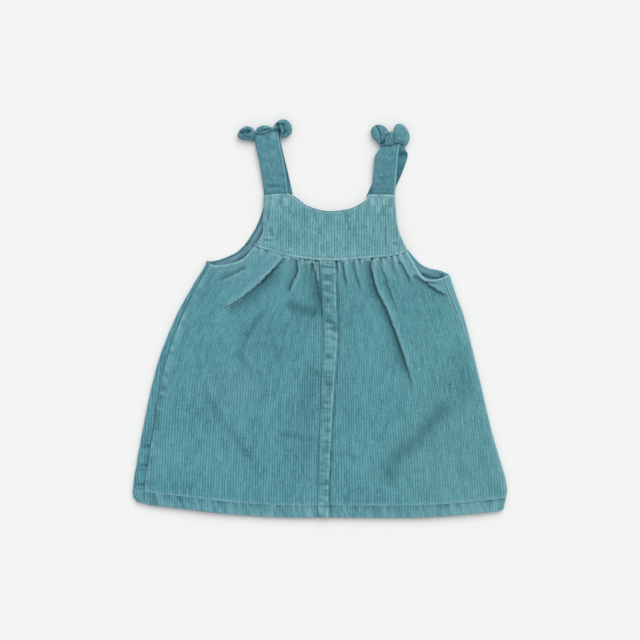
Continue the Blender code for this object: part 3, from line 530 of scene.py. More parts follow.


# Besides the height, this gives the wear with its painted highlights, and the painted shade in dark.
def skirtForm(places, panel):  # outer face of the front skirt without its wales, and its wear and dark
    x, y = places[..., 0], places[..., 1]
    height = np.full(x.shape, form["skirtTop"])
    wearAndHighlight = np.zeros(x.shape)
    dark = np.zeros(x.shape)
    height += 0.75 * softNoise(places, (58, 76), 3) + 0.30 * softNoise(places, (23, 34), 4)
    height += 0.04 * softNoise(places, (7, 12), 5)
    # Painted shade in each fold's crease, and a painted highlight along its ridge.
    for side, *sizes, takeUp, shade, points in folds:
        if side == panel:
            fold, core, crest = foldForm(places, sizes, points, takeUp == 0 and sizes[0] < form["softFold"])
            height += fold
            dark += 0.56 * shade * core
            wearAndHighlight += 0.34 * shade * crest
    yokeGap, _ = nearest(places, lines["yokeSeam"])
    yokeGap = np.abs(yokeGap)
    # Each gather: painted shade down its pit, and a painted highlight on the small ridges beside it.
    for side, start, lean, depth, width, length in gathers:
        if side == panel:
            seamY = np.interp(start, lines["yokeSeam"][:, 0], lines["yokeSeam"][:, 1])
            path = smoothPath([(start, seamY), (start + 0.4 * lean, seamY - 0.5 * length),
                               (start + lean, seamY - length)], 12)
            across, along = nearest(places, path)
            taper = 1 - smoothStep(along, 0.35, 1)
            height -= depth * taper * bell(across, 0, width)
            height += 0.45 * depth * taper * bell(np.abs(across), 2.2 * width, width)
            dark += 0.34 * depth * taper * bell(across, 0, 0.8 * width)
            wearAndHighlight += 0.55 * depth * taper * bell(np.abs(across), 2.4 * width, width)
    # Crimps between them, close along the seam and soon gone: painted shade in their hollows and along the
    # seam under the yoke's edge, and a painted highlight on their tops.
    crimp = softNoise(np.dstack([x + 0.25 * yokeGap, y / 6]), (2.3, 1.4), 6)
    soon = bell(yokeGap, 0, 3.6)
    height += 0.85 * crimp * soon - 0.25 * bell(yokeGap, 0, 1.6)
    fades = 0.25 + 0.75 * smoothStep(x, -62, -34)
    dark += fades * (0.04 + 0.80 * np.clip(-crimp, 0, 1)) * bell(yokeGap, 0, 1.5)
    dark += 0.40 * np.clip(-crimp - 0.15, 0, 1) * soon
    wearAndHighlight += 0.75 * np.clip(crimp, 0, 1) * bell(yokeGap, 1.6, 2.0) + 0.20 * bell(yokeGap, 0, 16)
    # Rubbed paler low on the wearer's left, and beside both armholes.
    wearAndHighlight += 0.14 * smoothStep(x, 60, 150) * smoothStep(-y, 60, 150)
    wearAndHighlight += 0.11 * np.exp(-(((x + 88) / 26) ** 2 + ((y + 68) / 20) ** 2))
    for middle, width in ((-84, 26), (96, 34)):
        wearAndHighlight += 0.20 * np.exp(-(((x - middle) / width) ** 2 + ((y - 50) / 13) ** 2))
    dark += 1.0 * np.exp(-(((x - 129.6) ** 2 + (y + 65) ** 2) / 1.3))      # one small dark fleck
    armholeGap, _ = nearest(places, lines[panel + "Armhole"])
    armholeGap = np.abs(armholeGap)
    height -= (form["skirtTop"] - form["armholeTop"]) * np.exp(-armholeGap / form["edgeFall"])
    height = np.maximum(height, 4.3)
    height += groove(armholeGap, 5.2, 0.6, 0.25) + 0.15 * bell(armholeGap, 3, 1.5)
    # The turned armhole edge: pale where its roll catches the light (painted highlight, with some real wear),
    # and painted shade in a broken line just inside the roll.
    bumpy = softNoise(places, (2.6, 2.6), 19)
    wearAndHighlight += (0.62 + 0.3 * bumpy) * bell(armholeGap, 0.7, 1.2) + 0.14 * bell(armholeGap, 0, 7)
    dark += 0.24 * np.clip(0.5 - bumpy, 0, 1) * bell(armholeGap, 3.0, 0.9)
    # The hem: two more layers up to the stitching, pulled into short slanting puckers.
    hemGap, _ = nearest(places, lines["hem"])
    hemGap = np.abs(hemGap)
    inHem = 1 - smoothStep(hemGap, form["hemDepth"] - 0.6, form["hemDepth"] + 0.8)
    rope = np.sin(2 * np.pi * (x + 0.55 * y + 3.5 * softNoise(places, (16, 16), 8)) / 8.5)
    height += inHem * (0.45 + 0.16 * rope * np.sin(np.pi * np.clip(hemGap / form["hemDepth"], 0, 1)))
    height += groove(hemGap, form["hemDepth"] - 0.6, 0.8, 0.38)
    height += 0.30 * bell(hemGap - form["hemDepth"], 1.4, 1.0)
    # Puckers of the hem: paler on their tops (real wear, and painted highlight) and painted shade between
    # them.
    patch = softNoise(np.dstack([x + 0.3 * hemGap, hemGap]), (2.3, 14), 9)
    patch = patch + 0.2 * softNoise(np.dstack([x, hemGap]), (12, 9), 16)
    patch *= 1 - 0.35 * smoothStep(x, 0, 60)
    wearAndHighlight += inHem * (0.10 + 0.44 * np.clip(patch, 0, 1)) + 0.30 * bell(hemGap, 0, 1.3)
    dark += inHem * 0.30 * np.clip(-patch, 0, 1)
    # The stitching line: a pale line on the ridge beside it (painted highlight, with some wear), and painted
    # shade in its groove, heavier towards the wearer's left.
    broken = 0.62 + 0.38 * softNoise(places, (4.4, 30), 10)
    wearAndHighlight += 0.60 * broken * bell(hemGap - form["hemDepth"], 0.9, 0.85)
    dark += (0.30 + 0.25 * smoothStep(x, 105, 135)) * broken * bell(hemGap - form["hemDepth"], -1.0, 0.8)
    dark += 0.35 * np.clip(broken * rope, 0, 1) * inHem * bell(hemGap, 9.5, 2.5)
    return height, wearAndHighlight, dark, armholeGap, hemGap


def fanWales(places, panel):  # cloth width in mm from the centre, read across the fan of the wales
    x, y = places[..., 0], places[..., 1]
    up = np.clip((y + 197) / 255, 0, 1)
    if panel == "left":
        out = 6 - x
        spread = lambda w: (14 * up**1.3 + 44 * up**4.5) * (1 - np.exp(-(np.maximum(w, 0) / 70) ** 1.6))
    else:
        out = x - 6
        spread = lambda w: 46 * up**1.8 * (1 - np.exp(-(np.maximum(w, 0) / 90) ** 1.6))
    width = out.copy()
    for _ in range(40):
        width = out + spread(width)
    sign = -1 if panel == "left" else 1
    for side, *sizes, takeUp, shade, points in folds:
        if side == panel and takeUp:
            across, along = nearest(places, smoothPath(points, 30))
            reach = 11.0
            taper = 1 - smoothStep(along, 1 - sizes[-1], 1)
            fade = np.clip(1 - np.abs(across) / reach, 0, 1)
            width += sign * 0.35 * takeUp * reach * taper * np.tanh(across / 1.6) * fade
    width += corduroySizes["wobble"] * softNoise(places, (13, 30), 12) + 0.8 * softNoise(places, (50, 70), 13)
    return width + stray(width, y, 14)


rowZones = [(0, 2.4, 0.4), (2.4, 10.4, 2.0), (10.4, 15.6, 0.52), (15.6, 205, 1.3), (205, 238, 1.0),
            (238, 243.5, 0.7), (243.5, 245, 0.38)]
skirtRows = stepsIn(245, rowZones)


def seamBetween(startX, endX, count):
    across = np.linspace(startX, endX, count + 1)
    return np.column_stack([across, np.interp(across, lines["yokeSeam"][:, 0],
                                              lines["yokeSeam"][:, 1]) - 0.05])


def bandColumns(shares, cutOff):
    left = readPath(outline["fellLeft"], skirtRows)
    right = readPath(outline["fellRight"], skirtRows)
    blend = np.array(shares)[None, :, None]
    grid = left[:, None] * (1 - blend) + right[:, None] * blend
    grid[-1, :, 1] = np.interp(grid[-1, :, 0], cutOff[:, 0], cutOff[:, 1])
    return grid


def bandTop(places):  # the felled seam's own form: low at its left, a firm ridge along its right
    leftGap, _ = nearest(places, lines["fellLeft"])
    rightGap, _ = nearest(places, lines["fellRight"])
    leftGap, rightGap = -leftGap, -rightGap   # both grow to the right
    inside = 1 / (1 + np.exp(np.clip((rightGap - 0.7) / 0.42, -40, 40)))
    high = smoothStep(places[..., 1], -25, 30)
    broken = 0.6 + 0.4 * softNoise(places, (9, 7), 23)
    ridge = 0.50 * bell(rightGap, -1.2, 1.0)
    rows = np.stack([places[..., 0], places[..., 1] + 0.12 * places[..., 0]], axis=-1)
    pucker = 1.6 * softNoise(rows, (8, 2.1), 21) * (0.7 + 0.3 * softNoise(places, (5, 12), 24))
    broad = softNoise(places, (14, 8), 22)
    across = smoothStep(leftGap, -0.5, 4)
    rise = inside * (0.45 + 0.9 * across + 0.35 * high + ridge + 0.45 * pucker * across + 0.35 * broad)
    ditch = 0.75 * bell(rightGap, 2.2, 1.2)
    # Painted highlight (with some rubbing) on the ridge at the band's right edge, painted shadow in the ditch
    # beside it and along its left edge high up, and painted shade and highlight on its puckers.
    wearAndHighlight = 1.05 * broken * bell(rightGap, -0.6, 0.65) + inside * 0.26 * np.clip(broad, 0, 1)
    wearAndHighlight += 0.30 * inside * np.clip(pucker, 0, 1) * across + 0.04 * inside
    dark = 0.74 * broken * bell(rightGap, 1.8, 0.9) + 0.52 * inside * np.clip(-pucker, 0, 1) * across
    dark += 0.30 * high * bell(leftGap, 0.6, 1.0)
    return rise - ditch, wearAndHighlight, dark, inside, leftGap


def frontSkirt(panel):
    columns = 420
    if panel == "left":
        seamTop = seamBetween(-65.6, 16, 60)
        band = bandColumns((-0.12, 0.02, 0.2, 0.5, 0.8), seamTop)
        top = joinPaths(smoothPath(outline["leftArmhole"], 158),
                        seamBetween(-65.6, band[-1, 0, 0], columns - 158))
        run = runLength(top)
        bottom = readPath(outline["hemLeft"], run / run[-1] * 0.933)
        left = sideSeam(skirtRows)[1] + 0.25 * sideSeam(skirtRows)[2]
        right = band[:, 0]
        left[0], left[-1] = bottom[0], top[0]
        bottom[-1], right[-1] = right[0], top[-1]
        grid = np.concatenate([fillPatch(bottom, top, left, right, skirtRows), band[:, 1:]], axis=1)
    else:
        seamTop = seamBetween(-4, 87.2, 60)
        band = bandColumns(np.linspace(0, 1, 27), seamTop)
        top = joinPaths(seamBetween(band[-1, -1, 0], 87.2, columns - 196),
                        smoothPath(outline["rightArmhole"], 196))
        run = runLength(top)
        bottom = readPath(outline["hemRight"], 0.055 + run / run[-1] * 0.945)
        right = readPath(outline["right"], skirtRows)
        left = band[:, -1]
        bottom[0], top[0] = left[0], left[-1]
        right[0], right[-1] = bottom[-1], top[-1]
        grid = np.concatenate([band[:, :-1], fillPatch(bottom, top, left, right, skirtRows)], axis=1)
    height, wearAndHighlight, dark, armholeGap, hemGap = skirtForm(grid, panel)
    wales = fanWales(grid, panel)
    squeeze = squeezeOf(wales, grid)
    wall = np.full(height.shape, form["cord"])
    rise, bandWearAndHighlight, bandDark, inside, leftGap = bandTop(grid)
    if panel == "left":
        seamGap = np.abs(nearest(grid, lines["sideSeam"])[0])
        height -= (height - form["sideSeamTop"]) * np.exp(-seamGap / form["edgeFall"])
        # Along the side seam: painted shade in the seam's line; ticks raised by the allowance beneath, paler
        # on their tops and darker between (painted highlight and painted shade); a painted shadow along the
        # strip's edge low down; and painted shade where the panel goes under the felled seam.
        broken = 0.5 + 0.5 * softNoise(np.dstack([grid[..., 1], grid[..., 1] * 0 + 30]), (9, 9), 47)
        dark += (0.10 + 0.35 * broken**2) * bell(seamGap, 0, 0.8)
        wearAndHighlight += 0.25 * broken * bell(seamGap, 1.8, 1.0)
        ticks = softNoise(np.dstack([seamGap, grid[..., 1] + 0.3 * seamGap]), (9, 2.7), 48)
        allowance = bell(seamGap, 3.4, 3.0) * (0.75 + 0.4 * softNoise(grid, (30, 26), 49))
        height += 0.30 * ticks * allowance
        wearAndHighlight += (0.75 * np.clip(ticks + 0.15, 0, 1) + 0.22 * smoothStep(grid[..., 1], -60, 0)) * allowance
        dark += 0.30 * np.clip(-ticks, 0, 1) * allowance
        low = smoothStep(-grid[..., 1], 52, 75) * (1 - smoothStep(-grid[..., 1], 108, 126))
        dark += 0.26 * low * bell(seamGap, 1.5, 3.5)
        under = smoothStep(leftGap, -1.6, 0.6)
        height = np.minimum(height, height * (1 - under) + 5.0 * under)
        dark += (0.18 + 0.40 * smoothStep(grid[..., 1], -25, 30)) * smoothStep(leftGap, -1.6, 0.2)
        edges = np.minimum(armholeGap, np.minimum(hemGap, seamGap + 0.9))
    else:
        height += rise
        wearAndHighlight += bandWearAndHighlight
        dark += bandDark
        sideGap = np.abs(nearest(grid, lines["right"])[0])
        height -= (height - form["rightEdgeTop"]) * np.exp(-sideGap / form["edgeFall"])
        # The side seam lies just inside the edge near the armhole, and passes round it lower down.
        high = smoothStep(grid[..., 1], -60, 40)
        seamAt = 2.3 + 3.6 * high
        uneven = 0.7 + 0.3 * softNoise(grid, (4, 6), 18)
        for place, tone in ((seamAt, 1.0), (seamAt + 2.4, 0.75)):
            line = bell(sideGap, place, 0.7) * uneven
            height += 0.28 * line
            wearAndHighlight += tone * (0.3 + 0.7 * high) * line
        # Painted shade in the dip between the two stitching lines.
        between = bell(sideGap - seamAt, 1.2, 0.6) * uneven
        height -= 0.4 * between * high
        dark += 0.55 * between * high
        wearAndHighlight += 0.45 * bell(sideGap, 0.6, 0.9) + 0.30 * high * bell(sideGap, 2.6, 2.4)
        wall = np.where(inside > 0.02, 1.0, form["cord"])
        edges = np.minimum(np.minimum(armholeGap, hemGap), np.minimum(sideGap, np.abs(leftGap)))
    rolled = height + edgeRoll(edges, 1.3, 0.85)
    pile = waleRise(wales, grid[..., 1], squeeze, 31 if panel == "left" else 32)
    pile *= smoothStep(edges, 0, 1.2) * 0.7 + 0.3
    outer = np.dstack([grid, rolled + pile])
    inner = np.dstack([grid, height - wall])
    cut = np.dstack([wales + (0 if panel == "left" else 400), grid[..., 1]])
    name = "skirtFrontLeft" if panel == "left" else "skirtFrontRight"
    piece = clothShell(name, outer, inner, skirtCord, cut, wearAndHighlight, dark)
    node = "skirt_front_left" if panel == "left" else "skirt_front_right"
    finishPiece(piece, [node])
    print(name, len(piece.data.polygons), "faces")
    return piece


def backSkirt():
    rows = stepsIn(245, [(0, 2, 0.5), (2, 10.5, 2.8), (10.5, 15, 0.75), (15, 66, 1.1), (66, 239, 3.2),
                         (239, 245, 1.0)])
    edge, seam, inward = sideSeam(rows)
    cord = form["cord"]
    radius = (form["sideSeamTop"] - cord) / 2
    start = edge + (radius + cord / 2) * inward
    top = joinPaths(smoothPath(outline["backLeftArmhole"], 80), smoothPath(outline["backYokeSeam"], 330),
                    smoothPath(outline["backRightArmhole"], 110))
    top[:, 1] -= 0.05
    start[-1] = top[0]
    run = runLength(top)
    hem = [start[0], (-140, -187.4), (-60, -195.3), (20, -196.5), (120, -195.6), (176, -190), (181.6, -182)]
    bottom = readPath(hem, run / run[-1])
    right = readPath(outline["right"], rows) - (0.8, 0)
    right[0], right[-1] = bottom[-1], top[-1]
    grid = fillPatch(bottom, top, start, right, rows)
    flat = np.dstack([grid, np.full(grid.shape[:2], cord / 2)])
    seam[-1] = start[-1] + 0.4 * inward
    wrap = []
    foldTop = cord / 2 + 2 * radius
    for share in np.linspace(0, 1, 22, endpoint=False):
        place = seam * (1 - share) + start * share
        wrap.append(np.column_stack([place, np.full(len(rows), foldTop)]))
    for turn in np.linspace(math.pi, 0, 13)[:-1]:
        place = start - math.sin(turn) * radius * inward
        wrap.append(np.column_stack([place, np.full(len(rows), cord / 2 + radius * (1 - math.cos(turn)))]))
    sheet = np.concatenate([np.stack(wrap, axis=1), flat], axis=1)
    along, across = np.gradient(sheet, axis=0), np.gradient(sheet, axis=1)
    normals = np.cross(across, along)
    normals[:, len(wrap):] = (0, 0, 1)
    normals /= np.linalg.norm(normals, axis=-1)[..., None]
    # The strip on the front is drawn in by the side seam into short wrinkles.
    onFront = np.zeros(sheet.shape[:2])
    onFront[:, :22] = np.linspace(1, 0.5, 22)
    onFront[:, 22:34] = np.linspace(0.5, 0, 12)
    down = sheet[..., 1]
    wrinkle = softNoise(np.dstack([sheet[..., 0] / 3 + 40, down]), (9, 5.5), 41) * 0.45
    for place, width, depth in ((-146, 1.5, 1.0), (-151, 1.2, 0.5), (-165, 1.4, 0.9), (-170, 1.2, 0.5),
                                (-127, 1.6, 0.6), (-92, 3, 0.4), (-20, 4, 0.35)):
        wrinkle -= depth * bell(down, place, width)
    run = np.cumsum(np.linalg.norm(np.diff(sheet, axis=1, prepend=sheet[:, :1]), axis=-1), axis=1)
    wales = 900 - run + 0.12 * down + 0.4 * softNoise(grid[:, :1].repeat(sheet.shape[1], 1), (20, 30), 43)
    pile = waleRise(wales, down, np.ones(down.shape), 44)
    hemGap = np.abs(nearest(sheet[..., :2], lines["hem"])[0])
    seamGap = np.linalg.norm(sheet[:, :1, :2] - sheet[..., :2], axis=-1)
    seamGap[:, 30:] = 99
    shape = wrinkle * onFront + groove(hemGap, form["hemDepth"], 0.7, 0.3) * (onFront > 0.05)
    shape += edgeRoll(seamGap + 0.5, 1.0, 0.5) + edgeRoll(np.minimum(hemGap, 9), 1.3, 0.5) * (onFront > 0)
    settle = np.where(onFront > 0, 1, 0)
    outward = cord / 2 + shape * settle + np.where(onFront > 0, pile, np.minimum(pile - 0.13, 0))
    outer = sheet - normals * outward[..., None]
    inner = sheet + normals * cord / 2
    wearAndHighlight = 0.35 * bell(hemGap, form["hemDepth"], 1.0) + 0.25 * onFront * smoothStep(hemGap, 13, 11)
    # Painted shade in the wrinkles' hollows and along the side seam, the front strip a little darker all
    # over, and painted shade along the back's armhole edge where it shows beside the facing, under the front.
    dark = 0.75 * np.clip(-shape * settle, 0, 1) * onFront + 0.12 * bell(seamGap, 0, 0.8)
    dark += 0.06 * onFront
    insideGap = np.abs(nearest(sheet[..., :2], smoothPath(outline["backLeftEdge"], 60))[0])
    dark += 0.42 * bell(insideGap, 0, 3.0) * (1 - onFront)
    cut = np.dstack([wales, down])
    piece = clothShell("skirtBack", outer[:, ::-1], inner[:, ::-1], skirtCord, cut[:, ::-1], wearAndHighlight[:, ::-1],
                       dark[:, ::-1])
    finishPiece(piece, ["skirt_back"])
    print("skirtBack", len(piece.data.polygons), "faces")
    return piece


yokePuckers = [  # rise, ditch, ridge width, ditch width, taper in, taper out, path
    (0.5, 0.9, 1.8, 1.4, 0.3, 0.4, [(65.5, 99), (66, 84), (67, 74), (70, 67)]),
    (0.4, 0.7, 1.8, 1.3, 0.4, 0.4, [(-51, 106), (-51, 97)]),
    (0.5, 0.7, 2.2, 1.8, 0.4, 0.4, [(-50, 94), (-47, 86), (-45, 79)]),
    (0.4, 0.6, 2.0, 1.6, 0.4, 0.4, [(-60, 79.5), (-51, 79), (-43, 78.5)]),
    (0.3, 0.5, 1.6, 1.3, 0.4, 0.4, [(64, 113), (73, 113.4)]),
    (0.3, 0.5, 1.8, 1.4, 0.4, 0.4, [(71, 76), (79, 75.5)]),
]


def yokeForm(places):
    height = form["yokeTop"] + 0.35 * softNoise(places, (30, 34), 51) + 0.16 * softNoise(places, (11, 17), 52)
    wearAndHighlight = np.zeros(height.shape)
    dark = np.zeros(height.shape)
    # Puckers: painted shade in their creases and a painted highlight on their ridges.
    for *sizes, points in yokePuckers:
        pucker, core, crest = foldForm(places, sizes, points)
        height += pucker
        dark += 0.30 * core
        wearAndHighlight += 0.26 * crest
    seamGap = np.abs(nearest(places, lines["yokeSeam"])[0])
    height += (form["yokeSeamTop"] - form["yokeTop"]) * bell(seamGap, 0, 9)
    height += groove(seamGap, 2.7, 0.6, 0.32) + 0.18 * bell(seamGap, 1.2, 0.8)
    edgeGap = np.abs(nearest(places, lines["yokeEdge"])[0])
    height += groove(edgeGap, 2.3, 0.55, 0.26) + 0.10 * bell(edgeGap, 1.2, 0.7)
    # Short ripples, drawn up by the stitching round the neck, the sides and along the seam.
    ripple = softNoise(places, (3.4, 3.4), 53)
    height += 0.16 * ripple * (bell(edgeGap, 3, 3) + bell(seamGap, 4, 3.5))
    broken = 0.6 + 0.4 * softNoise(places, (5, 5), 54)
    onTabs = smoothStep(places[..., 1], 118, 123)
    wearAndHighlight += (0.42 + 0.35 * onTabs) * broken * bell(edgeGap, 0.9, 1.0)
    wearAndHighlight += 0.75 * broken * bell(seamGap, 1.1, 0.9)
    wearAndHighlight += 0.28 * smoothStep(places[..., 1], 104, 122) * broken + 0.25 * np.exp(-seamGap / 5) * broken
    fromMiddle = np.abs(places[..., 0] - 11)
    wearAndHighlight += 0.35 * np.clip(softNoise(places, (16, 20), 59), 0, 1) * smoothStep(fromMiddle, 40, 70)
    # Painted shade in the grooves of the stitching rows, and at the turned edge below the tabs.
    dark += 0.22 * broken * bell(edgeGap, 2.4, 0.6) + 0.22 * broken * bell(seamGap, 2.9, 0.6)
    dark += 0.12 * bell(edgeGap, 0, 0.6) * (1 - onTabs)
    # The tabs and the corners over the armholes, where the seam allowances double the cloth, are rubbed.
    doubled = smoothStep(places[..., 1], 96, 118) + smoothStep(np.abs(places[..., 0] - 10), 52, 72) * 0.8
    atSides = smoothStep(np.abs(places[..., 0] - 10), 32, 44)
    streaks = softNoise(places, (2.2, 9), 60) * np.clip(doubled * atSides, 0, 1)
    wearAndHighlight += 0.55 * np.clip(streaks, 0, 1)
    dark += 0.38 * np.clip(-streaks, 0, 1)
    return height, wearAndHighlight, dark, edgeGap, seamGap


def frontYoke():
    rows = stepsIn(1, [(0, 0.024, 0.006), (0.024, 0.10, 0.012), (0.10, 0.90, 0.02), (0.90, 0.976, 0.012),
                       (0.976, 1, 0.006)])
    top = joinPaths(smoothPath(outline["leftTab"], 52), smoothPath(outline["neck"], 180),
                    smoothPath(outline["rightTab"], 54))
    shares = (top[:, 0] - top[0, 0]) / (top[-1, 0] - top[0, 0])
    bottom = readPath(outline["yokeSeam"], shares)
    grid = fillPatch(bottom, top, readPath(outline["yokeLeft"], rows), readPath(outline["yokeRight"], rows),
                     rows)
    height, wearAndHighlight, dark, edgeGap, seamGap = yokeForm(grid)
    edges = np.minimum(edgeGap, seamGap)
    wales = grid[..., 0] * 2.75 / 2.68 + 0.35 * softNoise(grid, (12, 30), 55) + 700
    wales += stray(wales, grid[..., 1], 57)
    pile = waleRise(wales, grid[..., 1], np.ones(height.shape), 56) * (smoothStep(edges, 0, 1.2) * 0.7 + 0.3)
    outer = np.dstack([grid, height + edgeRoll(edgeGap, 1.3, 0.85) + edgeRoll(seamGap, 1.0, 0.3) + pile])
    inner = np.dstack([grid, height - form["cord"]])
    piece = clothShell("yokeFront", outer, inner, yokeCord, np.dstack([wales, grid[..., 1]]), wearAndHighlight, dark)
    finishPiece(piece, ["yoke_front"])
    print("yokeFront", len(piece.data.polygons), "faces")
    return piece


def backYoke():
    rows = stepsIn(1, [(0, 0.06, 0.02), (0.06, 0.94, 0.04), (0.94, 1, 0.01)])
    tabs = [(-53.6, 124), (-41, 124.4), (-28.6, 124.4)], [(50.5, 121.8), (62, 122), (74.2, 122)]
    top = joinPaths(smoothPath(tabs[0], 44), smoothPath(outline["backNeck"], 150), smoothPath(tabs[1], 44))
    shares = (top[:, 0] - top[0, 0]) / (top[-1, 0] - top[0, 0])
    bottom = readPath(outline["backYokeSeam"], shares)
    grid = fillPatch(bottom, top, readPath(outline["backYokeLeft"], rows),
                     readPath(outline["backYokeRight"], rows), rows)
    wales = grid[..., 0] + 1300
    pile = waleRise(wales, grid[..., 1], np.ones(wales.shape), 58)
    outer = np.dstack([grid, np.maximum(0.13 - pile, 0)])     # the right side lies on the table
    inner = np.dstack([grid, np.full(wales.shape, form["cord"])])
    nothing = np.zeros(wales.shape)
    # Painted shade: the back yoke shows only as a thin rim beside the front's edges, in their shade, and
    # darker still along its armhole edge.
    insideGap = np.abs(nearest(grid, smoothPath(outline["backLeftEdge"], 60))[0])
    cut = np.dstack([wales, grid[..., 1]])
    piece = clothShell("yokeBack", outer[:, ::-1], inner[:, ::-1], yokeCord, cut[:, ::-1], nothing,
                       (0.25 + 0.3 * bell(insideGap, 0, 2.2))[:, ::-1])
    finishPiece(piece, ["yoke_back"])
    print("yokeBack", len(piece.data.polygons), "faces")
    return piece


def facing(name, node, points, start, end, shadowPocket):
    shares = np.linspace(start, end, 150)
    line = readPath(points, shares)
    tangents = np.gradient(line, axis=0)
    tangents /= np.linalg.norm(tangents, axis=1)[:, None]
    inward = np.column_stack([tangents[:, 1], -tangents[:, 0]])
    reach = np.array([2.3, 2.5, 2.8, 3.2, 3.7, 4.2, 4.7, 5.2, 5.7, 6.2, 6.7, 7.2, 7.8])
    narrow = 1 - 0.45 * smoothStep(shares, 0.8, 1)[:, None, None]
    grid = line[:, None] + reach[None, :, None] * narrow * inward[:, None]
    height = 2.6 + 0.18 * softNoise(grid, (5, 5), 61)
    height = height + edgeRoll(reach[None, :] - 2.3 + 0 * grid[..., 0], 1.0, 0.6)
    height += groove(reach[None, :], 4.0, 0.5, 0.2)
    outer = np.dstack([grid, height])
    inner = np.dstack([grid, np.full(height.shape, 1.7)])
    drawn = softNoise(np.dstack([reach[None, :] + 0 * height, runLength(line)[:, None] + 0 * height]),
                      (1.3, 13), 62)
    # A pale line along the top of the roll (partly wear and partly painted highlight), paler and darker
    # streaks where the facing is drawn up, painted shade along its outer edge and under the front's edge on
    # its inner side, and a painted shadow in the pocket between the panels at the armhole's end.
    wearAndHighlight = 0.25 * bell(reach[None, :], 3.2, 0.7) + 0.5 * np.clip(drawn, 0, 1)
    dark = 0.45 * bell(reach[None, :], 2.3, 0.4) + 0.40 * smoothStep(reach[None, :], 5.4, 7.6) + 0 * height
    dark += 0.4 * np.clip(-drawn, 0, 1) + 0.9 * np.exp(-(((grid - shadowPocket) ** 2).sum(-1) / 9))
    cut = np.dstack([reach[None, :] + 0 * height, runLength(line)[:, None] + 0 * height])
    piece = clothShell(name, outer[:, ::-1], inner[:, ::-1], facingTwill, cut[:, ::-1], wearAndHighlight[:, ::-1],
                       dark[:, ::-1], (3, 3))
    finishPiece(piece, [node])
    return piece


def ribbonShell(name, sections, thickness, material, detail, across):
    # sections: the two edge points of each section; detail adds height to the face from (mm across, mm along)
    edges = np.array(sections, float)
    middles = edges.mean(1)
    span = edges[:, 1] - edges[:, 0]
    width = np.linalg.norm(span, axis=1)
    normals = np.cross(np.gradient(middles, axis=0), span)
    normals /= np.linalg.norm(normals, axis=1)[:, None]
    lean = np.linspace(-math.pi / 2, math.pi / 2, across)
    share = (np.sin(lean) * 0.55 + lean / (math.pi / 2) * 0.45) / 2 + 0.5     # closer together at the edges
    run = runLength(middles)
    count = len(edges)
    fromEdge = np.minimum(share, 1 - share)[None, :] * width[:, None]
    crown = np.sqrt(np.clip(1 - np.clip(1 - fromEdge / (thickness * 0.7), 0, 1) ** 2, 0, 1))
    half = thickness / 2 * crown
    face = edges[:, :1] + span[:, None] * share[None, :, None]
    faceLift, wearAndHighlight, dark = detail(face, share[None, :] * width[:, None], run[:, None] + 0 * fromEdge,
                                  fromEdge)
    upper = face + normals[:, None] * (half + faceLift * crown)[..., None]
    lower = (face - normals[:, None] * half[..., None])[:, 1:-1]
    loop = across + across - 2
    points = np.concatenate([upper, lower[:, ::-1]], axis=1).reshape(-1, 3)
    index = np.arange(count * loop).reshape(count, loop)
    index = np.concatenate([index, index[:, :1]], axis=1)
    faces = gridFaces(index, flip=True)
    faces.append(tuple(index[0, :-1].tolist()))
    faces.append(tuple(index[-1, :-1][::-1].tolist()))
    cutAcross = share[None, :] * width[:, None]
    cut = np.dstack([np.concatenate([cutAcross, cutAcross[:, 1:-1][:, ::-1]], axis=1),
                     run[:, None].repeat(loop, 1)])
    wearAndHighlightAll = np.concatenate([wearAndHighlight, wearAndHighlight[:, 1:-1][:, ::-1]], axis=1)
    darkAll = np.concatenate([dark, dark[:, 1:-1][:, ::-1]], axis=1)
    return makePiece(name, points, faces, material, cut.reshape(-1, 2), wearAndHighlightAll.ravel(), darkAll.ravel())


strapTables = {  # right edge x, y, left edge x, y, height of the middle, fold
    "left": [
        (-31.8, 119.5, -54.6, 118.6, 2.75, False), (-31.8, 126.6, -55.4, 125.2, 2.75, False),
        (-32.6, 137.0, -56.8, 136.0, 3.9, False), (-35.4, 156.0, -59.8, 155.5, 4.9, False),
        (-39.2, 173.0, -63.4, 171.5, 4.6, False), (-41.2, 186.4, -64.9, 181.6, 4.0, True),
        (-40.9, 186.0, -64.6, 181.2, 1.0, True), (-37.6, 171.0, -61.8, 169.0, 1.0, False),
        (-32.6, 150.0, -56.8, 149.0, 1.0, False), (-27.0, 125.2, -51.6, 124.8, 1.0, False),
    ],
    "right": [
        (74.6, 118.6, 51.6, 119.4, 2.75, False), (75.0, 125.0, 51.4, 125.6, 2.75, False),
        (76.2, 136.0, 52.6, 136.0, 3.9, False), (77.6, 153.0, 54.2, 153.0, 4.9, False),
        (78.4, 164.0, 55.4, 163.0, 4.8, False), (79.9, 173.2, 60.4, 170.2, 4.2, True),
        (85.0, 170.2, 64.0, 170.0, 1.0, True), (87.9, 163.6, 65.0, 164.0, 1.0, False),
        (83.4, 149.0, 61.0, 150.0, 1.0, False), (77.0, 134.0, 52.4, 135.0, 1.0, False),
        (71.6, 122.9, 47.0, 123.4, 1.0, False),
    ],
}


def strapSections(table):
    rows = np.array([row[:5] for row in table])
    turn = [row[5] for row in table].index(True)
    front = smoothPath(rows[:turn + 1], 60)
    back = smoothPath(rows[turn + 1:], 40)
    sections = [((r[0], r[1], r[4]), (r[2], r[3], r[4])) for r in front]
    before, after = np.array(sections[-1]), np.array([(rows[turn + 1][0], rows[turn + 1][1], 1.0),
                                                      (rows[turn + 1][2], rows[turn + 1][3], 1.0)])
    radius = (before[0, 2] - after[0, 2]) / 2
    for step in np.linspace(0, math.pi, 14)[1:-1]:
        share = (1 - math.cos(step)) / 2
        section = before + (after - before) * share
        section[:, 1] += radius * math.sin(step)
        sections.append(section)
    sections += [((r[0], r[1], r[4]), (r[2], r[3], r[4])) for r in back]
    return np.array(sections)


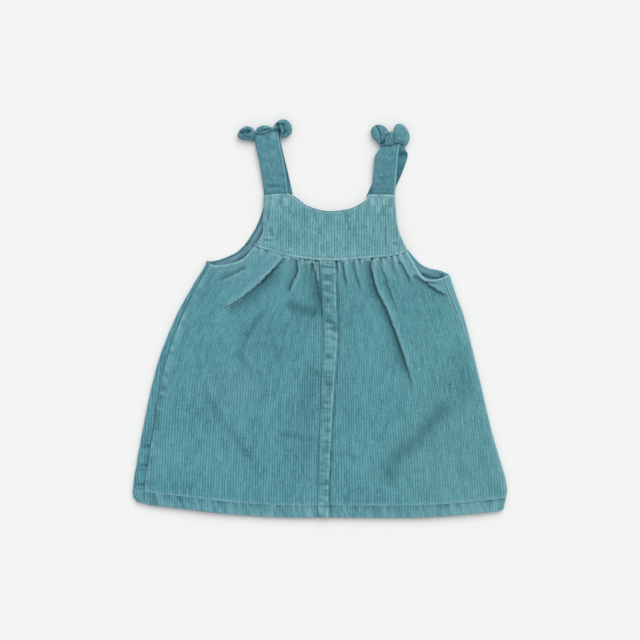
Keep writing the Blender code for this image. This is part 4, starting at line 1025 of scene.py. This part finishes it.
# Creases of the straps: layer, depth, width, shade, path. A negative depth is a ridge, with a painted
# highlight.
# Shade is the strength of the painted shade in a crease; one of no depth is painted shade alone, as on the
# back run in the shade of the front run.
strapCreases = {
    "left": [
        ("front", 0.35, 0.8, 0.45, [(-59, 147), (-54, 144.6), (-49, 144)]),
        ("front", 0.40, 0.9, 0.50, [(-50, 159), (-48, 152), (-45, 146)]),
        ("front", 0.50, 1.1, 0.60, [(-57, 131.0), (-46, 132.4), (-33, 131.2)]),
        ("front", 0.70, 0.9, 0.70, [(-58, 186), (-53, 181), (-49.5, 176)]),
        ("front", -0.50, 2.4, 0.0, [(-45, 187), (-47, 179)]),
        ("front", 0.30, 0.8, 0.30, [(-62, 169), (-54, 167), (-46, 170)]),
        ("back", 0.0, 3.0, 0.55, [(-38.5, 176), (-33, 150), (-27.5, 126)]),
    ],
    "right": [
        ("front", 0.45, 0.9, 0.50, [(55.5, 142), (63, 141), (74, 142.4)]),
        ("front", 0.40, 0.9, 0.45, [(54, 135), (63, 134), (74, 136.4)]),
        ("front", 0.50, 1.2, 0.60, [(52, 128.8), (63, 129.4), (75, 127.6)]),
        ("front", 0.35, 0.8, 0.40, [(58, 155), (66, 153.6), (75, 156)]),
        ("front", 0.30, 0.8, 0.35, [(62, 167), (70, 164), (76, 166)]),
        ("back", 0.0, 2.2, 0.80, [(77, 163.6), (83, 165.4), (88.5, 163)]),
        ("back", 0.0, 4.2, 0.60, [(79.5, 160), (79, 145), (77.5, 133)]),
        ("back", 0.0, 4.0, 0.60, [(50.5, 134), (46.5, 124)]),
        ("back", -0.3, 1.6, 0.0, [(80.5, 171.5), (84, 170), (86, 167.6)]),
    ],
}


def strapDetail(side, seed):
    def detail(face, across, along, fromEdge):
        spot = np.stack([across + 50, along], axis=-1)
        lift = 0.26 * softNoise(spot, (14, 7), seed) + 0.14 * softNoise(spot, (5, 4), seed + 1)
        seam = (across < 4) & (face[..., 2] > 2)       # the sewn edge of the front run
        lift += groove(fromEdge, 2.1, 0.5, 0.25) * seam - 0.35 * bell(along, 12.5, 1.6)
        # A pale stripe along the sewn right edge: painted highlight where the edge catches the light.
        wearAndHighlight = (0.60 if side == "left" else 1.0) * bell(fromEdge, 1.1, 0.8) * seam
        wearAndHighlight = wearAndHighlight + 0.12 * softNoise(spot, (6, 6), seed + 2)
        # Painted shade where the strap goes under the yoke, in the groove of its edge stitching and along its
        # other edge, and darker patches of the cloth's own tone.
        dark = 0.34 * bell(along, 6.3, 1.2) + 0.30 * bell(fromEdge, 2.8, 0.6) * seam
        patches = np.clip(softNoise(spot, (9, 5), seed + 3), 0, 1)
        dark += 0.16 * bell(fromEdge, 0, 1.5) * ~seam + 0.14 * patches
        # Creases: painted shade in each, heavier on the back run in the shade of the front run, and a painted
        # highlight on a ridge.
        for layer, depth, width, shade, points in strapCreases[side]:
            here = (face[..., 2] > 2.4) == (layer == "front")
            across, along = nearest(face[..., :2], smoothPath(points, 14))
            core = bell(across, 0, 1.5 * width) * here * np.sqrt(np.sin(math.pi * np.clip(along, 0.02, 0.98)))
            lift -= depth * core
            dark += (0.45 if layer == "front" else 0.9) * shade * core
            wearAndHighlight += (0.6 if depth < 0 else 0.0) * core
        return lift, wearAndHighlight, dark
    return detail


def strap(side):
    sections = strapSections(strapTables[side])
    name = "strap" + side.capitalize()
    piece = ribbonShell(name, sections, 2.0, strapTwill, strapDetail(side, 71 if side == "left" else 81),
                        across=41)
    finishPiece(piece, ["strap_" + side])
    print(name, len(piece.data.polygons), "faces")
    return piece


# The bows: each loop and knot of ribbon is a soft lump with the folds of the gathered ribbon in its top.
# Creases: depth, width, shade (strength of painted shade in the crease), path. A negative depth is a ridge,
# with a painted highlight. A lump's deep level darkens it all as painted shade, for the hollow loops of the
# left bow that stand on edge.
bows = [
    {
        "name": "bowLeftOuter", "node": "bow_left_outer", "top": 8.6, "deep": 0.18,
        "plan": [(-81.1, 184), (-78.8, 188.2), (-73, 191.4), (-67.6, 189.6), (-65.7, 186), (-65.5, 180),
                 (-66.5, 177.6), (-71, 179), (-77, 179.6), (-80.6, 181.4)],
        "creases": [
            (1.5, 1.8, 0.9, [(-77.4, 185.8), (-74.4, 187.0), (-70.5, 186.2)]),
            (0.8, 0.8, 0.6, [(-79.2, 186.6), (-76.5, 184.2), (-73, 184.2)]),
            (0.8, 1.2, 0.5, [(-72.4, 189.4), (-69.6, 187.0)]),
            (0.9, 0.9, 0.6, [(-76.5, 182.2), (-71.5, 181.4), (-67.5, 180.4)]),
            (-0.9, 1.0, 0.0, [(-72, 183.4), (-69, 183.4), (-65.8, 184.4)]),
        ],
    },
    {
        "name": "bowLeftInner", "node": "bow_left_inner", "top": 10.0, "deep": 0.10,
        "plan": [(-44.6, 193), (-40.6, 197), (-35, 198.1), (-30, 194.6), (-28.3, 189), (-29.4, 185.1),
                 (-33.9, 181.8), (-38.3, 181.6), (-39.7, 184.6), (-40.3, 188.2), (-44.4, 189.7)],
        "creases": [
            (1.8, 1.6, 1.0, [(-42.0, 193.6), (-40.6, 190), (-39.4, 185.6)]),
            (1.5, 1.2, 0.9, [(-37.6, 193.2), (-35.4, 190), (-34.8, 186.6), (-36.4, 183.4)]),
            (0.9, 1.1, 0.6, [(-41.4, 193.8), (-37.8, 194.6), (-34.6, 193.4)]),
            (0.5, 1.3, 0.4, [(-32.6, 192), (-31.4, 188.6), (-32.8, 185)]),
            (-1.0, 0.9, 0.0, [(-38.2, 191.4), (-37.8, 187), (-37.2, 183)]),
        ],
    },
    {
        "name": "bowLeftKnot", "node": "bow_left_knot", "top": 7.6,
        "plan": [(-64.8, 185.2), (-60.4, 190.2), (-55, 191.6), (-49.6, 190.9), (-46.2, 189.6),
                 (-46.4, 187.9), (-53.3, 186.4), (-59, 185.2)],
        "creases": [
            (1.0, 1.1, 0.8, [(-53.4, 188.6), (-50, 189.2), (-48, 188.2)]),
            (0.8, 1.0, 0.7, [(-61.5, 187.4), (-57.5, 187.0), (-54.5, 188.4)]),
            (0.5, 0.8, 0.5, [(-58.5, 190.0), (-56, 188.4)]),
        ],
    },
    {
        "name": "bowRightInner", "node": "bow_right_inner", "top": 8.6,
        "plan": [(51.5, 187.4), (54.2, 191.6), (58.9, 193), (63.9, 191.4), (67.4, 187.2), (67.8, 183.8),
                 (65.6, 179), (64.2, 174.6), (61.6, 173.2), (57.8, 176.8), (53.4, 181.8)],
        "creases": [
            (1.3, 0.9, 0.9, [(56.6, 192.0), (58.6, 188.6), (60.2, 184.6), (60.9, 178), (60.9, 175)]),
            (0.6, 0.9, 0.5, [(63.8, 188.0), (63.2, 184.6), (63.6, 181.4)]),
            (0.9, 1.3, 0.7, [(66.4, 183.2), (64.2, 179.6), (62.6, 176.4)]),
            (1.4, 1.6, 0.9, [(66.2, 177.8), (63.6, 175.4), (61.6, 174.4)]),
            (-0.5, 1.4, 0.0, [(55, 188), (57.8, 182)]),
        ],
    },
    {
        "name": "bowRightKnot", "node": "bow_right_knot", "top": 9.0,
        "plan": [(69, 184.9), (71.6, 185.6), (73.8, 184.4), (74, 180), (73.8, 175.2), (69.4, 174.3),
                 (65.4, 174.2), (66.7, 178.8), (68.6, 182.6)],
        "creases": [
            (0.9, 0.8, 0.8, [(69.8, 184.4), (68.9, 180.6), (67.9, 176.4)]),
            (1.1, 0.8, 1.0, [(73.6, 184.6), (73.9, 180.4), (73.8, 175.6)]),
            (-0.6, 1.0, 0.0, [(67.6, 181), (66.6, 176)]),
        ],
    },
    {
        "name": "bowRightOuter", "node": "bow_right_outer", "top": 8.6, "worn": 0.2,
        "plan": [(74.7, 186.8), (75.2, 191.2), (78.2, 193.8), (82.8, 192.9), (86.7, 188.4), (88.9, 182.3),
                 (87.8, 176.8), (85.2, 173), (82.6, 174.3), (79.6, 175.7), (75.2, 176), (74.5, 181)],
        "creases": [
            (0.3, 1.2, 0.2, [(82.6, 190.0), (84.6, 186.0), (84.8, 181.6)]),
            (0.8, 1.3, 0.5, [(75.8, 177.4), (80.2, 176.4), (84.2, 175.0)]),
        ],
    },
]


knotRing = smoothPath([*bows[4]["plan"], bows[4]["plan"][0]], 24)[:-1]
knotLow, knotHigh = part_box(bows[4]["node"])
layOff = np.array([*((np.array(knotLow[:2]) + np.array(knotHigh[:2])) / 2 / mm
                     - (knotRing.min(0) + knotRing.max(0)) / 2), 0.0])


def bowPad(part, seed):
    around, floor = 150, 0.5
    ring = smoothPath([*part["plan"], part["plan"][0]], around)[:-1]
    centre = ring.mean(0)
    away = ring - centre
    ring += (1.5 if "Knot" in part["name"] else 0.8) * away / np.linalg.norm(away, axis=1)[:, None]
    share = np.sin(np.linspace(0, math.pi / 2, 36))[:, None, None]
    plan = centre + (ring[None] - centre) * share
    middle, swell = (floor + part["top"]) / 2, (part["top"] - floor) / 2
    dome = np.sqrt(1 - share[..., 0] ** 2.4 + 1e-9)
    lift = 0.30 * softNoise(plan + 60, (3.2, 3.2), seed) * dome
    crumple = softNoise(plan + 30, (2.6, 2.6), seed + 1)
    lift += 0.25 * crumple * dome
    # A pale band where the lump turns down (painted highlight), painted shade at its foot and in the hollows
    # of its crumples, and painted shade and highlight at its creases.
    wearAndHighlight = 0.26 * bell(share[..., 0], 0.80, 0.12) * (0.6 + 0.6 * crumple) + part.get("worn", 0)
    dark = 0.30 * smoothStep(share[..., 0], 0.86, 1.0) + 0.22 * np.clip(-crumple, 0, 1) + part.get("deep", 0)
    for depth, width, shade, points in part["creases"]:
        across, _ = nearest(plan, smoothPath(points, 14))
        core = bell(across, 0, width)
        lift = lift - depth * core * dome
        dark = dark + 0.72 * shade * core
        wearAndHighlight = wearAndHighlight + (0.35 * core if depth < 0 else 0.25 * shade * bell(np.abs(across), 2 * width, width))
    upper = np.dstack([plan, middle + swell * dome + lift])
    lower = np.dstack([plan[:-1], (middle - swell * dome)[:-1] + 0 * lift[:-1]])
    rows = len(share)
    topIndex = np.arange(rows * around).reshape(rows, around)
    lowIndex = np.vstack([rows * around + np.arange((rows - 1) * around).reshape(rows - 1, around),
                          topIndex[-1:]])
    faces = []
    for index, under in ((topIndex, False), (lowIndex, True)):
        index = index[1:]
        index = np.concatenate([index, index[:, :1]], axis=1)
        faces += gridFaces(index, flip=not under)
        tip = 0 if not under else rows * around
        for a, b in zip(index[0, :-1], index[0, 1:]):
            faces.append((tip, int(b), int(a)) if under else (tip, int(a), int(b)))
    points = np.vstack([upper.reshape(-1, 3), lower.reshape(-1, 3)])
    drop = np.r_[1:around, rows * around + 1:rows * around + around]       # the spare copies of the two tips
    keep = np.setdiff1d(np.arange(len(points)), drop)
    number = np.full(len(points), -1)
    number[keep] = np.arange(len(keep))
    faces = [tuple(int(number[i]) for i in face) for face in faces]
    levels = [np.concatenate([level.ravel(), level[:-1].ravel()])[keep] for level in (wearAndHighlight, dark)]
    piece = makePiece(part["name"], points[keep], faces, strapTwill, points[keep, :2], *levels)
    finishPiece(piece, [part["node"]])
    return piece


stitch = {
    "pitch": 2.6,
    "length": 2.0,
    "thread": 0.32,    # a real thread is half as thick, and would hardly show
    "lift": 0.12,
    "unevenness": 0.12,
    "seed": 7,
}


def stitchTree():
    tree = bpy.data.node_groups.new("stitchRow", "GeometryNodeTree")
    tree.interface.new_socket("Geometry", in_out="INPUT", socket_type="NodeSocketGeometry")
    for label in ("Pitch", "Stitch length", "Thread radius", "Unevenness"):
        tree.interface.new_socket(label, in_out="INPUT", socket_type="NodeSocketFloat")
    tree.interface.new_socket("Seed", in_out="INPUT", socket_type="NodeSocketInt")
    tree.interface.new_socket("Thread", in_out="INPUT", socket_type="NodeSocketMaterial")
    tree.interface.new_socket("Geometry", in_out="OUTPUT", socket_type="NodeSocketGeometry")
    given = tree.nodes.new("NodeGroupInput").outputs
    points = addNode(tree, "GeometryNodeCurveToPoints", {"mode": "LENGTH"},
                     {"Curve": given["Geometry"], "Length": given["Pitch"]})
    turned = addNode(tree, "FunctionNodeAlignRotationToVector", {"axis": "X"},
                     {"Vector": points.outputs["Tangent"]})
    bead = addNode(tree, "GeometryNodeMeshUVSphere", links={"Segments": 6, "Rings": 4, "Radius": 1.0})
    halfLength = addNode(tree, "ShaderNodeMath", {"operation": "MULTIPLY"},
                         {0: given["Stitch length"], 1: 0.5})
    size = addNode(tree, "ShaderNodeCombineXYZ",
                   links={0: halfLength, 1: given["Thread radius"], 2: given["Thread radius"]})
    least = addNode(tree, "ShaderNodeMath", {"operation": "SUBTRACT"}, {0: 1.0, 1: given["Unevenness"]})
    most = addNode(tree, "ShaderNodeMath", {"operation": "ADD"}, {0: 1.0, 1: given["Unevenness"]})
    uneven = addNode(tree, "FunctionNodeRandomValue", {"data_type": "FLOAT"},
                     {2: least, 3: most, "Seed": given["Seed"]})
    sized = addNode(tree, "ShaderNodeVectorMath", {"operation": "SCALE"},
                    {0: size, "Scale": uneven.outputs[1]})
    placed = addNode(tree, "GeometryNodeInstanceOnPoints",
                     links={"Points": points, "Instance": bead, "Rotation": turned, "Scale": sized})
    real = addNode(tree, "GeometryNodeRealizeInstances", links={0: placed})
    smooth = addNode(tree, "GeometryNodeSetShadeSmooth", links={"Geometry": real})
    dressed = addNode(tree, "GeometryNodeSetMaterial",
                      links={"Geometry": smooth, "Material": given["Thread"]})
    result = tree.nodes.new("NodeGroupOutput")
    tree.links.new(dressed.outputs[0], result.inputs[0])
    return tree


def stitchRows(name, tree, paths):
    curve = bpy.data.curves.new(name + "Path", "CURVE")
    curve.dimensions = "3D"
    for path in paths:
        spline = curve.splines.new("POLY")
        spline.points.add(len(path) - 1)
        places = (np.asarray(path) + layOff) * mm
        spline.points.foreach_set("co", np.column_stack([places, np.ones(len(path))]).ravel())
    guide = bpy.data.objects.new(name + "Guide", curve)
    bpy.context.scene.collection.objects.link(guide)
    sewn = guide.modifiers.new("stitches", "NODES")
    sewn.node_group = tree
    values = {
        "Pitch": stitch["pitch"] * mm, "Stitch length": stitch["length"] * mm,
        "Thread radius": stitch["thread"] * mm,
        "Unevenness": stitch["unevenness"], "Seed": stitch["seed"], "Thread": seamThread,
    }
    for item in tree.interface.items_tree:
        if item.in_out == "INPUT" and item.name in values:
            sewn[item.identifier] = values[item.name]
    bpy.context.view_layer.update()
    evaluated = guide.evaluated_get(bpy.context.evaluated_depsgraph_get())
    mesh = bpy.data.meshes.new_from_object(evaluated)
    mesh.name = name
    piece = bpy.data.objects.new(name, mesh)
    bpy.context.scene.collection.objects.link(piece)
    guide.modifiers.remove(sewn)
    bpy.data.objects.remove(guide)
    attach(piece, "root")
    print(name, len(mesh.polygons), "faces")
    return piece


def offsetPath(path, distance):  # beside a path, to its left when the distance is positive
    tangents = np.gradient(path, axis=0)
    tangents /= np.linalg.norm(tangents, axis=1)[:, None]
    return path + distance * np.column_stack([-tangents[:, 1], tangents[:, 0]])


def onTop(path, heights):
    return np.column_stack([path, heights + stitch["lift"]])


backSkirt()
backYoke()
facing("armholeFacingLeft", "armhole_facing_left", outline["backLeftEdge"], 0.02, 0.98, (-107, 56))
facing("armholeFacingRight", "armhole_facing_right", outline["backRightArmhole"], 0.02, 0.93, (122, 43.5))
frontSkirt("left")
frontSkirt("right")
frontYoke()
strap("left")
strap("right")
for count, part in enumerate(bows):
    bowPad(part, 91 + 3 * count)

rowTree = stitchTree()
neckRow = offsetPath(joinPaths(lines["leftTab"], lines["neck"], lines["rightTab"]), -2.3)[2:-2]
seamRow = offsetPath(lines["yokeSeam"], 2.7)[1:-1]
leftSide = offsetPath(lines["yokeLeft"], -2.3)[4:-2]
rightSide = offsetPath(lines["yokeRight"], 2.3)[4:-2]
yokeRows = [onTop(path, yokeForm(path[None])[0][0]) for path in (neckRow, seamRow, leftSide, rightSide)]
stitchRows("yokeStitches", rowTree, yokeRows)
skirtPaths = []
for panel, side in (("left", -1), ("right", 1)):
    armhole = offsetPath(lines[panel + "Armhole"], -5.2)[3:-3]
    skirtPaths.append(onTop(armhole, skirtForm(armhole[None], panel)[0][0]))
hemRow = offsetPath(lines["hem"], form["hemDepth"])
hemRow = hemRow[(hemRow[:, 0] > -166) & (hemRow[:, 0] < 182)]
for panel, part in (("left", hemRow[hemRow[:, 0] < -2.5]), ("right", hemRow[hemRow[:, 0] >= 9])):
    skirtPaths.append(onTop(part, skirtForm(part[None], panel)[0][0]))
stitchRows("skirtStitches", rowTree, skirtPaths)
print("stitches made")


def addFloor():
    mesh = bpy.data.meshes.new("floor")
    mesh.from_pydata([(-3, -3, 0), (3, -3, 0), (3, 3, 0), (-3, 3, 0)], [], [(0, 1, 2, 3)])
    floor = bpy.data.objects.new("floor", mesh)
    bpy.context.scene.collection.objects.link(floor)
    paper, tree, shader = startMaterial("whitePaper", 0.9, 0.0)
    shader.inputs["Base Color"].default_value = (0.92, 0.92, 0.92, 1)
    mesh.materials.append(paper)


studio = {
    "sky": 0.60,         # light from all round
    "key": 1.60,         # a large softbox, far enough away to light the table evenly
    "keyFrom": (0.35, 0.75, 1.0),
    "keyAngle": 0.9,
}


def addLight():
    world = bpy.data.worlds.new("studio")
    bpy.context.scene.world = world
    world.use_nodes = True
    world.node_tree.nodes["Background"].inputs["Color"].default_value = (1, 1, 1, 1)
    world.node_tree.nodes["Background"].inputs["Strength"].default_value = studio["sky"]
    light = bpy.data.lights.new("softbox", "SUN")
    light.angle = studio["keyAngle"]
    light.energy = studio["key"]
    lamp = bpy.data.objects.new("softbox", light)
    x, y, z = studio["keyFrom"]
    lamp.rotation_euler = (math.atan2(math.hypot(x, y), z), 0, math.atan2(y, x) + math.pi / 2)
    bpy.context.scene.collection.objects.link(lamp)


def addCamera():
    data = bpy.data.cameras.new("camera")
    data.sensor_width = 36
    distance, width = 1.6, 0.64
    data.lens = 36 / 2 / (width / 2 / distance)
    camera = bpy.data.objects.new("camera", data)
    camera.location = (0.0, -0.001, distance)
    bpy.context.scene.collection.objects.link(camera)
    bpy.context.scene.camera = camera


addFloor()
addLight()
addCamera()
bpy.context.scene.view_settings.view_transform = "Standard"
print("stage set")
